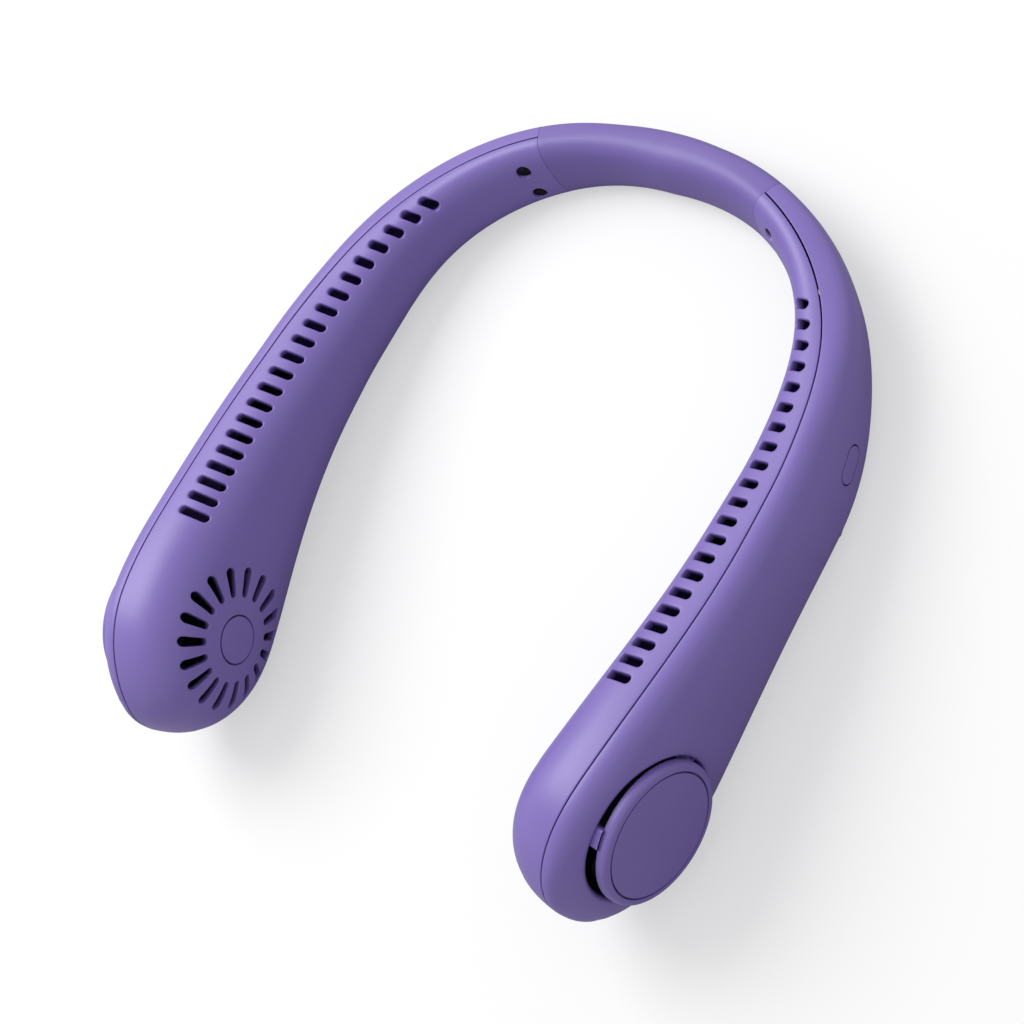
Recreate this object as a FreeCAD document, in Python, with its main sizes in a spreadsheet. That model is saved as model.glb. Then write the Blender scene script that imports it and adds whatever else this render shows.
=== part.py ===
import FreeCAD, Part
import math
import os
import Sketcher
from FreeCAD import Placement, Rotation, Vector

# A bladeless neck fan, in millimetres. It lies on its underside: +Z is up, +Y points to the nape,
# the heads point to -Y and the right arm is on +X. The origin is under the middle of the collar.

DIMENSIONS = {
    # The spine seen from above: a nape arc that runs on into two nearly straight arms.
    "nape_y": 88.8,
    "nape_radius": 78.5,
    "arm_radius": 570.0,
    "spine_length": 229.5,
    # Oval sections: roundness, and the rounded nose that closes the head.
    "section_power": 2.7,
    "nose_from": 197.5,
    "nose_power": 2.5,
    # Section stations: distance along the spine, height of the middle, half height,
    # inner and outer half widths measured from the parting line, outward lean in degrees.
    "nape_z": 9.1,
    "nape_rise": 9.0,
    "nape_inner": 6.5,
    "nape_outer": 6.5,
    "nape_lean": 14.0,
    "joint_at": 36.0,
    "joint_z": 10.1,
    "joint_rise": 10.0,
    "joint_inner": 5.25,
    "joint_outer": 5.75,
    "joint_lean": 14.0,
    "shoulder_at": 75.0,
    "shoulder_z": 12.1,
    "shoulder_rise": 10.5,
    "shoulder_inner": 8.0,
    "shoulder_outer": 8.75,
    "shoulder_lean": 13.0,
    "elbow_at": 105.0,
    "elbow_z": 14.1,
    "elbow_rise": 13.0,
    "elbow_inner": 14.0,
    "elbow_outer": 7.25,
    "elbow_lean": -2.0,
    "middle_at": 140.0,
    "middle_z": 19.1,
    "middle_rise": 15.5,
    "middle_inner": 16.0,
    "middle_outer": 8.0,
    "middle_lean": 2.5,
    "wrist_at": 170.0,
    "wrist_z": 22.6,
    "wrist_rise": 20.0,
    "wrist_inner": 17.5,
    "wrist_outer": 8.5,
    "wrist_lean": 3.5,
    "head_at": 195.0,
    "head_z": 24.45,
    "head_rise": 24.3,
    "head_inner": 19.0,
    "head_outer": 8.0,
    "head_lean": 2.5,
    "tip_z": 24.6,
    "tip_rise": 19.0,
    "tip_inner": 22.0,
    "tip_outer": 8.5,
    "tip_lean": -5.0,
    # Moulded shells.
    "wall": 2.0,
    "fit": 0.15,
    # Outlet slots along the top of the inner shell.
    "slot_count": 21,
    "slot_first_at": 73.5,
    "slot_last_at": 176.5,
    "slot_edge": 2.6,
    "slot_width": 3.0,
    "slot_length_first": 6.6,
    "slot_length_last": 10.2,
    # Radial grille on the inner face of the head, and the disc in its middle.
    "fan_at": 203.0,
    "grille_count": 18,
    "grille_inner_radius": 11.4,
    "grille_outer_radius": 20.2,
    "grille_inner_width": 1.9,
    "grille_outer_width": 2.7,
    "grille_disc_radius": 6.2,
    "grille_disc_depth": 1.0,
    # Intake cap, standing off the outer face of the head.
    "intake_radius": 19.3,
    "intake_lip": 0.9,
    "cap_radius": 18.3,
    "cap_stand_off": 0.7,
    "cap_thickness": 2.6,
    "cap_round": 1.5,
    "cap_disc_radius": 15.8,
    "cap_disc_thickness": 1.2,
    "post_count": 3,
    "post_angle": 22.5,
    "post_width": 5.0,
    "post_depth": 2.6,
    "post_reach": 4.0,
    # Fan motor and impeller, stacked outwards from a flat boss behind the grille disc.
    "boss_radius": 9.6,
    "boss_height": 3.4,
    "mount_radius": 9.0,
    "mount_plate": 1.0,
    "tube_radius": 2.4,
    "tube_height": 8.6,
    "bearing_radius": 1.7,
    "shaft_radius": 1.0,
    "running_gap": 0.05,
    "stator_lift": 1.6,
    "stator_height": 4.6,
    "stator_radius": 6.4,
    "stator_core_radius": 3.6,
    "pole_count": 9,
    "pole_width": 1.3,
    "air_gap": 0.4,
    "magnet_thickness": 0.7,
    "cup_wall": 0.7,
    "cup_clearance": 0.8,
    "impeller_radius": 17.0,
    "impeller_hub_wall": 1.0,
    "impeller_plate": 1.0,
    "blade_count": 17,
    "blade_root_radius": 11.6,
    "blade_lift": 2.0,
    "blade_height": 11.0,
    "blade_thickness": 0.9,
    "blade_sweep": 20.0,
    "blade_bow": 1.35,
    "housing_gap": 1.3,
    "housing_wall": 1.2,
    "housing_mouth": 64.0,
    # Battery bay under the air duct.
    "bay_at": 152.0,
    "bay_pitch": 6.0,
    "floor_lift": 2.0,
    "floor_thickness": 1.2,
    "floor_length": 50.0,
    "battery_length": 44.0,
    "battery_width": 13.5,
    "battery_thickness": 10.0,
    "battery_side": -3.6,
    "battery_round": 2.0,
    # Power button, its switch, the board behind it and the charging socket.
    "button_at": 108.5,
    "button_drop": 2.2,
    "button_length": 9.0,
    "button_width": 5.0,
    "button_gap": 0.2,
    "button_flange": 0.8,
    "button_travel": 0.5,
    "switch_size": 5.2,
    "switch_height": 2.0,
    "stem_radius": 0.9,
    "stem_height": 2.8,
    "board_length": 28.0,
    "board_height": 13.0,
    "board_thickness": 1.0,
    "board_shift": 5.0,
    "peg_radius": 1.5,
    "peg_rise": 4.2,
    "socket_shift": 11.0,
    "socket_width": 8.9,
    "socket_thickness": 3.2,
    "socket_depth": 7.3,
    "socket_shell": 0.35,
    "tongue_width": 6.2,
    "tongue_thickness": 0.7,
    "tongue_reach": 5.8,
    # Neck band and what ties it to the arms.
    "band_step": 0.35,
    "joint_gap": 0.1,
    "strip_height": 8.0,
    "strip_thickness": 0.8,
    "strip_overlap": 5.0,
    "loom_radius": 1.1,
    "loom_drop": 5.8,
    "loom_overlap": 13.0,
    "plug_length": 13.0,
    "screw_at": 43.0,
    "screw_high_angle": 167.0,
    "screw_low_angle": 205.0,
    "screw_head_radius": 1.8,
    "screw_head_height": 0.7,
    "screw_hole_depth": 1.4,
    "screw_radius": 0.9,
    "screw_length": 5.0,
}

STATIONS = ("nape", "joint", "shoulder", "elbow", "middle", "wrist", "head", "tip")
OUTSIDE = 12.0
SECTION_POINTS = 24
BODY_SECTIONS = 15
NOSE_TURNS = (0, 20, 38, 54, 68, 79, 86)
WALK_STEP = 3

doc = FreeCAD.newDocument("neck_fan")
sheet = doc.addObject("Spreadsheet::Sheet", "sizes")
for row, (alias, number) in enumerate(DIMENSIONS.items(), start=1):
    sheet.set(f"A{row}", alias)
    sheet.set(f"B{row}", str(number))
    sheet.setAlias(f"B{row}", alias)
doc.recompute()


class Size:
    """A number together with the spreadsheet expression that it comes from."""

    def __init__(self, number, text):
        self.number = float(number)
        self.text = text

    def _with(self, other, sign, work):
        other = other if isinstance(other, Size) else Size(other, repr(other))
        return Size(work(self.number, other.number), f"({self.text} {sign} {other.text})")

    def __add__(self, other):
        return self._with(other, "+", lambda a, b: a + b)

    def __sub__(self, other):
        return self._with(other, "-", lambda a, b: a - b)

    def __mul__(self, other):
        return self._with(other, "*", lambda a, b: a * b)

    def __truediv__(self, other):
        return self._with(other, "/", lambda a, b: a / b)

    def __neg__(self):
        return Size(-self.number, f"(0 - {self.text})")

    def __float__(self):
        return self.number


def size(alias):
    """The spreadsheet cell with this alias, as a Size."""
    return Size(sheet.get(alias), f"sizes.{alias}")


def mm(alias):
    """The number in the spreadsheet cell with this alias."""
    return float(sheet.get(alias))


# Spine and oval sections

def station_at(name):
    """Distance along the spine of a station; the nape is its start and the tip its end."""
    if name == "nape":
        return 0.0
    return mm("spine_length") if name == "tip" else mm(f"{name}_at")


def schedule(quantity):
    """Smooth curve of one section size against distance along the spine, level at the nape."""
    points = [Vector(-mm("joint_at"), mm(f"joint_{quantity}"), 0)]
    points += [Vector(station_at(name), mm(f"{name}_{quantity}"), 0) for name in STATIONS]
    curve = Part.BSplineCurve()
    curve.interpolate(Points=points, Parameters=[point.x for point in points])
    return curve


SCHEDULES = {quantity: schedule(quantity) for quantity in ("z", "rise", "inner", "outer", "lean")}


def section(at, quantity):
    """One section size at a distance along the spine, the same on both sides of the nape."""
    return SCHEDULES[quantity].value(abs(at)).y


def spine(at):
    """Spine point, its direction towards the head and the level direction out of the collar."""
    nape_end = mm("nape_radius") * math.pi / 2
    radius = mm("nape_radius") if at < nape_end else mm("arm_radius")
    turn = at / radius if at < nape_end else math.pi / 2 + (at - nape_end) / radius
    out = Vector(math.sin(turn), math.cos(turn), 0)
    centre = Vector(0, mm("nape_y") - mm("nape_radius"), 0)
    if at >= nape_end:
        centre = centre + Vector(mm("nape_radius") - radius, 0, 0)
    point = centre + out * radius
    point.z = section(at, "z")
    return point, Vector(math.cos(turn), -math.sin(turn), 0), out


def nose(at, inset):
    """Factor that shrinks the sections from the full head to nothing at the tip."""
    reach = (at - mm("nose_from")) / (mm("spine_length") - inset - mm("nose_from"))
    power = mm("nose_power")
    return (1 - min(max(reach, 0), 1) ** power) ** (1 / power)


def section_up(at):
    """Direction from the bottom of a section to its top, leaning outwards."""
    lean = math.radians(section(at, "lean"))
    return Vector(0, 0, 1) * math.cos(lean) + spine(at)[2] * math.sin(lean)


def section_point(at, angle, inset=0.0):
    """Point of the oval at an angle from outward (0) over the top (90) to inward (180)."""
    point, along, out = spine(at)
    up = section_up(at)
    across = along.cross(up) * -1
    cosine = math.cos(math.radians(angle))
    sine = math.sin(math.radians(angle))
    half = section(at, "outer" if cosine > 0 else "inner") - inset
    power = 2 / mm("section_power")
    sideways = math.copysign(abs(cosine) ** power, cosine) * half
    upwards = math.copysign(abs(sine) ** power, sine) * (section(at, "rise") - inset)
    return point + (across * sideways + up * upwards) * nose(at, inset)


def oval(at, inset):
    """Closed oval section, as a smooth curve that starts low on the inner side."""
    turns = [225 + 360 * step / SECTION_POINTS for step in range(SECTION_POINTS)]
    curve = Part.BSplineCurve()
    curve.interpolate(Points=[section_point(at, turn, inset) for turn in turns], PeriodicFlag=True)
    return Part.Wire([curve.toShape()])


def arm_stations(first, inset):
    """Section distances from the band joint to just short of the tip, closing up in the nose."""
    body = [first + (mm("nose_from") - first) * step / BODY_SECTIONS for step in range(BODY_SECTIONS)]
    reach = mm("spine_length") - inset - mm("nose_from")
    return body + [mm("nose_from") + reach * math.sin(math.radians(turn)) for turn in NOSE_TURNS]


def arm_solid(inset, start):
    """Solid that fills the arm to a given depth under its skin, from a distance along the spine."""
    return Part.makeLoft([oval(at, inset) for at in arm_stations(start, inset)], True)


def outer_side():
    """Everything outside the parting surface, which runs through the spine and leans with the sections."""
    stations = arm_stations(mm("joint_at") - OUTSIDE, 0.0) + [mm("spine_length")]
    lines = []
    for at in stations:
        up = section_up(at) * (section(at, "rise") + OUTSIDE)
        lines.append(Part.Wire([Part.makeLine(spine(at)[0] - up, spine(at)[0] + up)]))
    beyond = lines[-1].copy()
    beyond.translate(spine(mm("spine_length"))[1] * OUTSIDE)
    sheet_face = Part.makeLoft(lines + [beyond], False)
    outwards = spine(mm("joint_at"))[2] + spine(mm("spine_length"))[2]
    return sheet_face.Faces[0].extrude(outwards * 3 * OUTSIDE)


# Local frames: X up, Y along the arm towards the head, Z out of the collar

def arm_frame(at, lift=0.0):
    """Placement of a local frame on the spine, raised by a height."""
    point, along, out = spine(at)
    up = Vector(0, 0, 1)
    return Placement(point + up * lift, Rotation(up, along, out, "XYZ"))


def placed(shape, frame):
    """A copy of a shape built in a local frame, put in its place."""
    copy = shape.copy()
    copy.Placement = frame.multiply(copy.Placement)
    return copy


def tube_between(radius, low, high, frame):
    """Cylinder about a local Z axis between two heights."""
    return placed(Part.makeCylinder(radius, high - low, Vector(0, 0, low)), frame)


def stadium(length, width):
    """Face with straight sides along Y and round ends, centred on the origin."""
    radius = width / 2
    reach = length / 2 - radius
    near_right, far_right = Vector(radius, -reach, 0), Vector(radius, reach, 0)
    near_left, far_left = Vector(-radius, -reach, 0), Vector(-radius, reach, 0)
    edges = [
        Part.makeLine(near_right, far_right),
        Part.Arc(far_right, Vector(0, reach + radius, 0), far_left).toShape(),
        Part.makeLine(far_left, near_left),
        Part.Arc(near_left, Vector(0, -reach - radius, 0), near_right).toShape(),
    ]
    return Part.Face(Part.Wire(edges))


def pill(length, width, low, high, frame):
    """Stadium-shaped bar between two heights of a local frame."""
    face = stadium(length, width)
    face.translate(Vector(0, 0, low))
    return placed(face.extrude(Vector(0, 0, high - low)), frame)


fan = arm_frame(mm("fan_at"))
grille_face = -section(mm("fan_at"), "inner")
intake_face = section(mm("fan_at"), "outer")
boss_seat = grille_face + mm("boss_height")


# Parts with free-form skins

arm = arm_solid(0.0, mm("joint_at"))
cavity = arm_solid(mm("wall"), mm("joint_at") - mm("wall"))
lining = arm_solid(mm("wall") + mm("fit"), mm("joint_at") + 2 * mm("joint_gap"))
outside = outer_side()
hollow_arm = arm.cut(cavity)


def below_seam(at, distance):
    """Point of the inner skin at a distance round the section from the parting line on top."""
    before = section_point(at, 90)
    for turn in range(90 + WALK_STEP, 181, WALK_STEP):
        after = section_point(at, turn)
        step = after.distanceToPoint(before)
        if distance <= step:
            return before + (after - before) * (distance / step)
        distance -= step
        before = after
    return before


def slot_cutters():
    """One stadium bar per outlet slot, square to the skin at the middle of the slot."""
    cutters = []
    steps = int(mm("slot_count")) - 1
    for step in range(steps + 1):
        share = step / steps
        at = mm("slot_first_at") + (mm("slot_last_at") - mm("slot_first_at")) * share
        length = mm("slot_length_first") + (mm("slot_length_last") - mm("slot_length_first")) * share
        start = below_seam(at, mm("slot_edge"))
        stop = below_seam(at, mm("slot_edge") + length)
        chord = stop - start
        square = chord.cross(spine(at)[1])
        frame = Placement((start + stop) / 2, Rotation(chord.cross(square), chord, square, "ZXY"))
        cutters.append(pill(chord.Length, mm("slot_width"), -2 * mm("wall"), 2 * mm("wall"), frame))
    return cutters


def grille_cutters():
    """Radial slots with round ends, wider at the rim, cut through the inner face of the head."""
    near = mm("grille_inner_radius") + mm("grille_inner_width") / 2
    far = mm("grille_outer_radius") - mm("grille_outer_width") / 2
    small = mm("grille_inner_width") / 2
    large = mm("grille_outer_width") / 2
    outline = [
        Part.makeLine(Vector(near, -small, 0), Vector(far, -large, 0)),
        Part.Arc(Vector(far, -large, 0), Vector(far + large, 0, 0), Vector(far, large, 0)).toShape(),
        Part.makeLine(Vector(far, large, 0), Vector(near, small, 0)),
        Part.Arc(Vector(near, small, 0), Vector(near - small, 0, 0), Vector(near, -small, 0)).toShape(),
    ]
    face = Part.Face(Part.Wire(outline))
    face.translate(Vector(0, 0, grille_face - mm("wall")))
    bar = face.extrude(Vector(0, 0, 5 * mm("wall")))
    count = int(mm("grille_count"))
    turns = [Placement(Vector(), Rotation(Vector(0, 0, 1), 360 * step / count)) for step in range(count)]
    return [placed(bar, fan.multiply(turn)) for turn in turns]


def screw_frame(angle):
    """Frame of a band screw: origin on the skin of the inner shell, Z pointing into the arm."""
    along, out = spine(mm("screw_at"))[1:]
    up = Vector(0, 0, 1)
    return Placement(section_point(mm("screw_at"), angle), Rotation(up, along, out, "XYZ"))


SCREW_FRAMES = [screw_frame(mm(alias)) for alias in ("screw_high_angle", "screw_low_angle")]


def inner_shell():
    """Inner shell with its outlet slots, radial grille, motor boss and screw holes."""
    shell = hollow_arm.cut(outside)
    boss = tube_between(mm("boss_radius"), grille_face - OUTSIDE, boss_seat, fan).common(arm)
    shell = shell.fuse(boss)
    recess = tube_between(
        mm("grille_disc_radius") + mm("fit"),
        grille_face - OUTSIDE,
        grille_face + mm("grille_disc_depth"),
        fan,
    )
    holes = []
    for frame in SCREW_FRAMES:
        recess_radius = mm("screw_head_radius") + mm("fit")
        holes.append(tube_between(recess_radius, -OUTSIDE, mm("screw_hole_depth"), frame))
        holes.append(tube_between(mm("screw_radius") + mm("fit"), 0, 2 * mm("wall"), frame))
    return shell.cut(slot_cutters() + grille_cutters() + holes + [recess])


def grille_disc():
    """Disc let into the middle of the grille, flush with the skin round it."""
    disc = tube_between(
        mm("grille_disc_radius"), grille_face - OUTSIDE, grille_face + mm("grille_disc_depth"), fan
    )
    return disc.common(arm)


def on_lip(edge):
    """Whether an edge lies both on the skin of the arm and on the wall of the intake opening."""
    middle = edge.valueAt((edge.FirstParameter + edge.LastParameter) / 2)
    local = fan.inverse().multVec(middle)
    on_wall = abs(math.hypot(local.x, local.y) - mm("intake_radius")) < 0.01
    return on_wall and local.z > 0 and Part.Vertex(middle).distToShape(arm.Shells[0])[0] < 0.01


def outer_shell():
    """Outer shell with the round intake opening and its softly rounded lip."""
    opening = tube_between(mm("intake_radius"), 0, intake_face + OUTSIDE, fan)
    shell = hollow_arm.common(outside).cut(opening)
    return shell.makeFillet(mm("intake_lip"), [edge for edge in shell.Edges if on_lip(edge)])


button = arm_frame(mm("button_at"), -mm("button_drop"))
button_skin = section(mm("button_at"), "outer")
flange_top = button_skin - mm("wall") - mm("button_gap")
stem_low = flange_top - mm("button_flange") - mm("stem_height")
board_top = stem_low - mm("button_travel") - 2 * mm("fit")
socket_middle = board_top + mm("socket_thickness") / 2
socket_at = mm("button_at") + mm("socket_shift")


def skin_below(at, sideways):
    """Height of the underside skin at a distance along the spine and a distance out from it."""
    share = min(sideways / section(at, "outer"), 1)
    power = mm("section_power")
    return section(at, "z") - section(at, "rise") * (1 - share ** power) ** (1 / power)


def socket_frame():
    """Frame of the charging socket: origin in its mouth, Z straight up, Y along the arm."""
    frame = arm_frame(mm("button_at"))
    mouth = frame.multVec(Vector(0, mm("socket_shift"), socket_middle))
    mouth.z = skin_below(socket_at, board_top + mm("socket_thickness")) + mm("fit")
    along = frame.Rotation.multVec(Vector(0, 1, 0))
    out = frame.Rotation.multVec(Vector(0, 0, 1))
    return Placement(mouth, Rotation(-out, along, Vector(0, 0, 1), "XYZ"))


def peg_place(side):
    """Distance along the arm from the button to a peg near one end of the board."""
    return mm("board_shift") + side * (mm("board_length") / 2 - 2 * mm("peg_radius"))


def right_outer_shell(shell):
    """Outer shell with the button hole, the charging port and two pegs for the board."""
    for side in (-1, 1):
        peg_frame = button.multiply(Placement(Vector(mm("peg_rise"), peg_place(side), 0), Rotation()))
        peg = tube_between(mm("peg_radius"), board_top, button_skin - mm("wall") / 2, peg_frame)
        shell = shell.fuse(peg)
    hole = pill(
        mm("button_length") + 2 * mm("button_gap"),
        mm("button_width") + 2 * mm("button_gap"),
        flange_top,
        button_skin + OUTSIDE,
        button,
    )
    port = pill(
        mm("socket_width") + 2 * mm("fit"),
        mm("socket_thickness") + 2 * mm("fit"),
        -OUTSIDE,
        mm("socket_depth"),
        socket_frame(),
    )
    return shell.cut([hole, port])


def power_button():
    """Pill-shaped button, flush with the skin, with a flange that keeps it in its hole."""
    cap = pill(mm("button_length"), mm("button_width"), flange_top, button_skin + OUTSIDE, button)
    flange = pill(
        mm("button_length") + 2 * mm("button_flange"),
        mm("button_width") + 2 * mm("button_flange"),
        flange_top - mm("button_flange"),
        flange_top,
        button,
    )
    return cap.common(arm).fuse(flange).removeSplitter()


def fan_housing():
    """Wall round the impeller, between the two shells, open towards the air duct."""
    inner = mm("impeller_radius") + mm("housing_gap")
    wall = tube_between(inner + mm("housing_wall"), -2 * OUTSIDE, OUTSIDE, fan)
    wall = wall.cut(tube_between(inner, -2 * OUTSIDE, OUTSIDE, fan))
    reach = 2 * inner
    half = math.radians(mm("housing_mouth"))
    mouth = Part.Face(Part.makePolygon([
        Vector(),
        Vector(reach * math.sin(half), -reach * math.cos(half), 0),
        Vector(0, -2 * reach, 0),
        Vector(-reach * math.sin(half), -reach * math.cos(half), 0),
        Vector(),
    ]))
    mouth.translate(Vector(0, 0, -2 * OUTSIDE))
    wall = wall.cut(placed(mouth.extrude(Vector(0, 0, 4 * OUTSIDE)), fan))
    return wall.common(lining)


bay = arm_frame(mm("bay_at"), mm("floor_lift"))
bay = bay.multiply(Placement(Vector(), Rotation(Vector(0, 0, 1), mm("bay_pitch"))))


def duct_floor():
    """Wall across the arm, between the air duct and the battery bay."""
    slab = Part.makeBox(
        mm("floor_thickness"),
        mm("floor_length"),
        6 * OUTSIDE,
        Vector(-mm("floor_thickness"), -mm("floor_length") / 2, -3 * OUTSIDE),
    )
    return placed(slab, bay).common(lining)


def nape_ring(face_points, reach):
    """Profile in the plane of the nape, turned about the centre of the nape arc to both sides."""
    face = Part.Face(Part.makePolygon(face_points + face_points[:1]))
    return turned_about_nape(face, reach)


def turned_about_nape(face, reach):
    """A face at the nape turned both ways about the centre of the nape arc."""
    centre = Vector(0, mm("nape_y") - mm("nape_radius"), 0)
    half = math.degrees(reach / mm("nape_radius"))
    face.rotate(centre, Vector(0, 0, 1), -half)
    return face.revolve(centre, Vector(0, 0, 1), 2 * half)


def strip_solid(gap, reach):
    """Flat strip along the nape arc, grown by a gap all round."""
    half_height = mm("strip_height") / 2 + gap
    half_thickness = mm("strip_thickness") / 2 + gap
    corners = [(-1, -1), (1, -1), (1, 1), (-1, 1)]
    middle = Vector(0, mm("nape_y"), mm("nape_z") + mm("loom_radius"))
    points = [middle + Vector(0, y * half_thickness, z * half_height) for y, z in corners]
    return nape_ring(points, reach)


def loom_solid(gap, reach):
    """Round wire loom along the nape arc under the strip, grown by a gap all round."""
    middle = Vector(0, mm("nape_y"), mm("nape_z") + mm("loom_radius") - mm("loom_drop"))
    ring = Part.makeCircle(mm("loom_radius") + gap, middle, Vector(1, 0, 0))
    return turned_about_nape(Part.Face(Part.Wire([ring])), reach)


band_reach = mm("joint_at") - mm("joint_gap")
strip_reach = mm("joint_at") + mm("strip_overlap")


def channels():
    """Channels for the strip and the loom, through the band and into the plugs."""
    reach = strip_reach + mm("plug_length")
    return [strip_solid(mm("fit"), strip_reach + mm("fit")), loom_solid(mm("fit"), reach)]


def neck_band():
    """Soft band behind the neck, a little smaller than the arms that it runs into."""
    sections = [oval(band_reach * step / 3, mm("band_step")) for step in range(-3, 4)]
    return Part.makeLoft(sections, True).cut(channels())


def band_plug():
    """Plug that fills the end of the arm and holds the strip."""
    end = mm("joint_at") + mm("plug_length")
    start = mm("joint_at") + mm("joint_gap")
    inset = mm("wall") + mm("fit")
    plug = Part.makeLoft([oval(start + (end - start) * step / 2, inset) for step in range(3)], True)
    depth = mm("screw_length") + mm("fit")
    holes = [tube_between(mm("screw_radius"), 0, depth, frame) for frame in SCREW_FRAMES]
    return plug.cut(channels() + holes)


def band_screws():
    """Two pan-head screws, each seated at the bottom of its recess in the inner shell."""
    screws = []
    for frame in SCREW_FRAMES:
        seat = mm("screw_hole_depth")
        head = tube_between(mm("screw_head_radius"), seat - mm("screw_head_height"), seat, frame)
        shank = tube_between(mm("screw_radius"), seat, mm("screw_length"), frame)
        screws.append(head.fuse(shank).removeSplitter())
    return Part.makeCompound(screws)


parts = []


def keep(label, shape):
    """A sub-part with a free-form shape."""
    feature = doc.addObject("Part::Feature", label)
    feature.Label = label
    feature.Shape = shape
    feature.Placement = Placement()
    parts.append(feature)
    return feature


def mirrored(label, source):
    """The left-hand twin of a right-hand sub-part."""
    twin = doc.addObject("Part::Mirroring", label)
    twin.Label = label
    twin.Source = source
    twin.Base = Vector(0, 0, 0)
    twin.Normal = Vector(1, 0, 0)
    parts.append(twin)
    return twin


right_inner = keep("right_inner_shell", inner_shell())
mirrored("left_inner_shell", right_inner)
plain_outer = doc.addObject("Part::Feature", "plain_outer_shell")
plain_outer.Shape = outer_shell()
mirrored("left_outer_shell", plain_outer)
keep("right_outer_shell", right_outer_shell(plain_outer.Shape))
for name, make in (
    ("grille_disc", grille_disc),
    ("fan_housing", fan_housing),
    ("duct_floor", duct_floor),
    ("band_plug", band_plug),
    ("band_screws", band_screws),
):
    mirrored(f"left_{name}", keep(f"right_{name}", make()))
keep("power_button", power_button())
keep("neck_band", neck_band())
keep("spring_strip", strip_solid(0.0, strip_reach))
keep("wire_loom", loom_solid(0.0, mm("joint_at") + mm("loom_overlap")))


# Turned and prismatic parts, each a body in its own local frame

def body_at(label, frame):
    """An empty body with its own place."""
    body = doc.addObject("PartDesign::Body", label)
    body.Label = label
    body.Placement = frame
    parts.append(body)
    return body


def origin_feature(body, role):
    """One of a body's own origin planes or axes."""
    return next(item for item in body.Origin.OriginFeatures if item.Role == role)


def tie(sketch, constraint, distance):
    """Add a constraint whose value follows a spreadsheet expression."""
    index = sketch.addConstraint(constraint)
    sketch.setExpression(f"Constraints[{index}]", distance.text)


def outline(body, name, plane, corners):
    """Closed polygon on an origin plane; each corner coordinate is a Size, or 0 on an axis."""
    sketch = body.newObject("Sketcher::SketchObject", name)
    sketch.AttachmentSupport = [(origin_feature(body, plane), "")]
    sketch.MapMode = "FlatFace"
    points = [Vector(float(x), float(y), 0) for x, y in corners]
    for index, point in enumerate(points):
        sketch.addGeometry(Part.LineSegment(point, points[(index + 1) % len(points)]))
    for index in range(len(points)):
        sketch.addConstraint(Sketcher.Constraint("Coincident", index, 2, (index + 1) % len(points), 1))
    for index, (x, y) in enumerate(corners):
        for kind, axis, coordinate in (("DistanceX", -2, x), ("DistanceY", -1, y)):
            if isinstance(coordinate, Size):
                tie(sketch, Sketcher.Constraint(kind, -1, 1, index, 1, float(coordinate)), coordinate)
            else:
                sketch.addConstraint(Sketcher.Constraint("PointOnObject", index, 1, axis))
    return sketch


def turn(body, name, corners):
    """Solid of revolution about the body's Z axis, from corners given as radius and height."""
    revolution = body.newObject("PartDesign::Revolution", name)
    revolution.Profile = outline(body, f"{name}_profile", "XZ_Plane", corners)
    revolution.ReferenceAxis = (origin_feature(body, "Z_Axis"), [""])
    revolution.Angle = 360
    doc.recompute()
    return revolution


def pad(body, name, corners, length, low=None):
    """Prism along the body's Z axis from a polygon, starting at the origin or at a height."""
    sketch = outline(body, f"{name}_outline", "XY_Plane", corners)
    if low is not None:
        sketch.setExpression("AttachmentOffset.Base.z", low.text)
    prism = body.newObject("PartDesign::Pad", name)
    prism.Profile = sketch
    prism.setExpression("Length", length.text)
    doc.recompute()
    return prism


def repeat(body, feature, count):
    """Repeat a feature evenly round the body's Z axis."""
    pattern = body.newObject("PartDesign::PolarPattern", f"{feature.Name}_ring")
    pattern.Originals = [feature]
    pattern.Axis = (origin_feature(body, "Z_Axis"), [""])
    pattern.Angle = 360
    pattern.setExpression("Occurrences", count.text)
    body.Tip = pattern
    doc.recompute()
    return pattern


def round_edges(body, base, radius, test):
    """Fillet those edges of a feature that pass a test."""
    edges = [f"Edge{index}" for index, edge in enumerate(base.Shape.Edges, start=1) if test(edge)]
    fillet = body.newObject("PartDesign::Fillet", f"{base.Name}_round")
    fillet.Base = (base, edges)
    fillet.setExpression("Radius", radius.text)
    body.Tip = fillet
    doc.recompute()
    return fillet


def ring_corners(inner, outer, low, high):
    """Corners of a ring's profile."""
    return [(inner, low), (outer, low), (outer, high), (inner, high)]


def both_sides(name, body):
    """Name a right-hand body's left-hand twin."""
    mirrored(f"left_{name}", body)


# Intake cap: a dish with a rounded rim on posts that reach into the intake opening

cap_frame = fan.multiply(Placement(Vector(0, 0, intake_face + mm("cap_stand_off")), Rotation()))
seat_radius = size("cap_disc_radius") + size("fit")
disc_seat = size("cap_thickness") - size("cap_disc_thickness")


def on_cap_rim(edge):
    """Whether an edge is the outer rim of the cap's top face."""
    return edge.Length > 2 * math.pi * (mm("cap_radius") - mm("fit")) and edge.CenterOfMass.z > mm("fit")


cap = body_at("right_intake_cap", cap_frame)
dish = turn(cap, "cap_dish", [
    (0, 0),
    (size("cap_radius"), 0),
    (size("cap_radius"), size("cap_thickness")),
    (seat_radius, size("cap_thickness")),
    (seat_radius, disc_seat),
    (0, disc_seat),
])
rounded = round_edges(
    cap,
    dish,
    size("cap_round"),
    on_cap_rim,
)
post_out = size("intake_radius") - size("fit")
post_in = post_out - size("post_depth")
half_post = size("post_width") / 2
post = pad(
    cap,
    "cap_post",
    [(post_in, -half_post), (post_out, -half_post), (post_out, half_post), (post_in, half_post)],
    size("post_reach"),
    low=-size("post_reach"),
)
repeat(cap, post, size("post_count"))
cap.Placement = cap_frame.multiply(Placement(Vector(), Rotation(Vector(0, 0, 1), mm("post_angle"))))
both_sides("intake_cap", cap)

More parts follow.
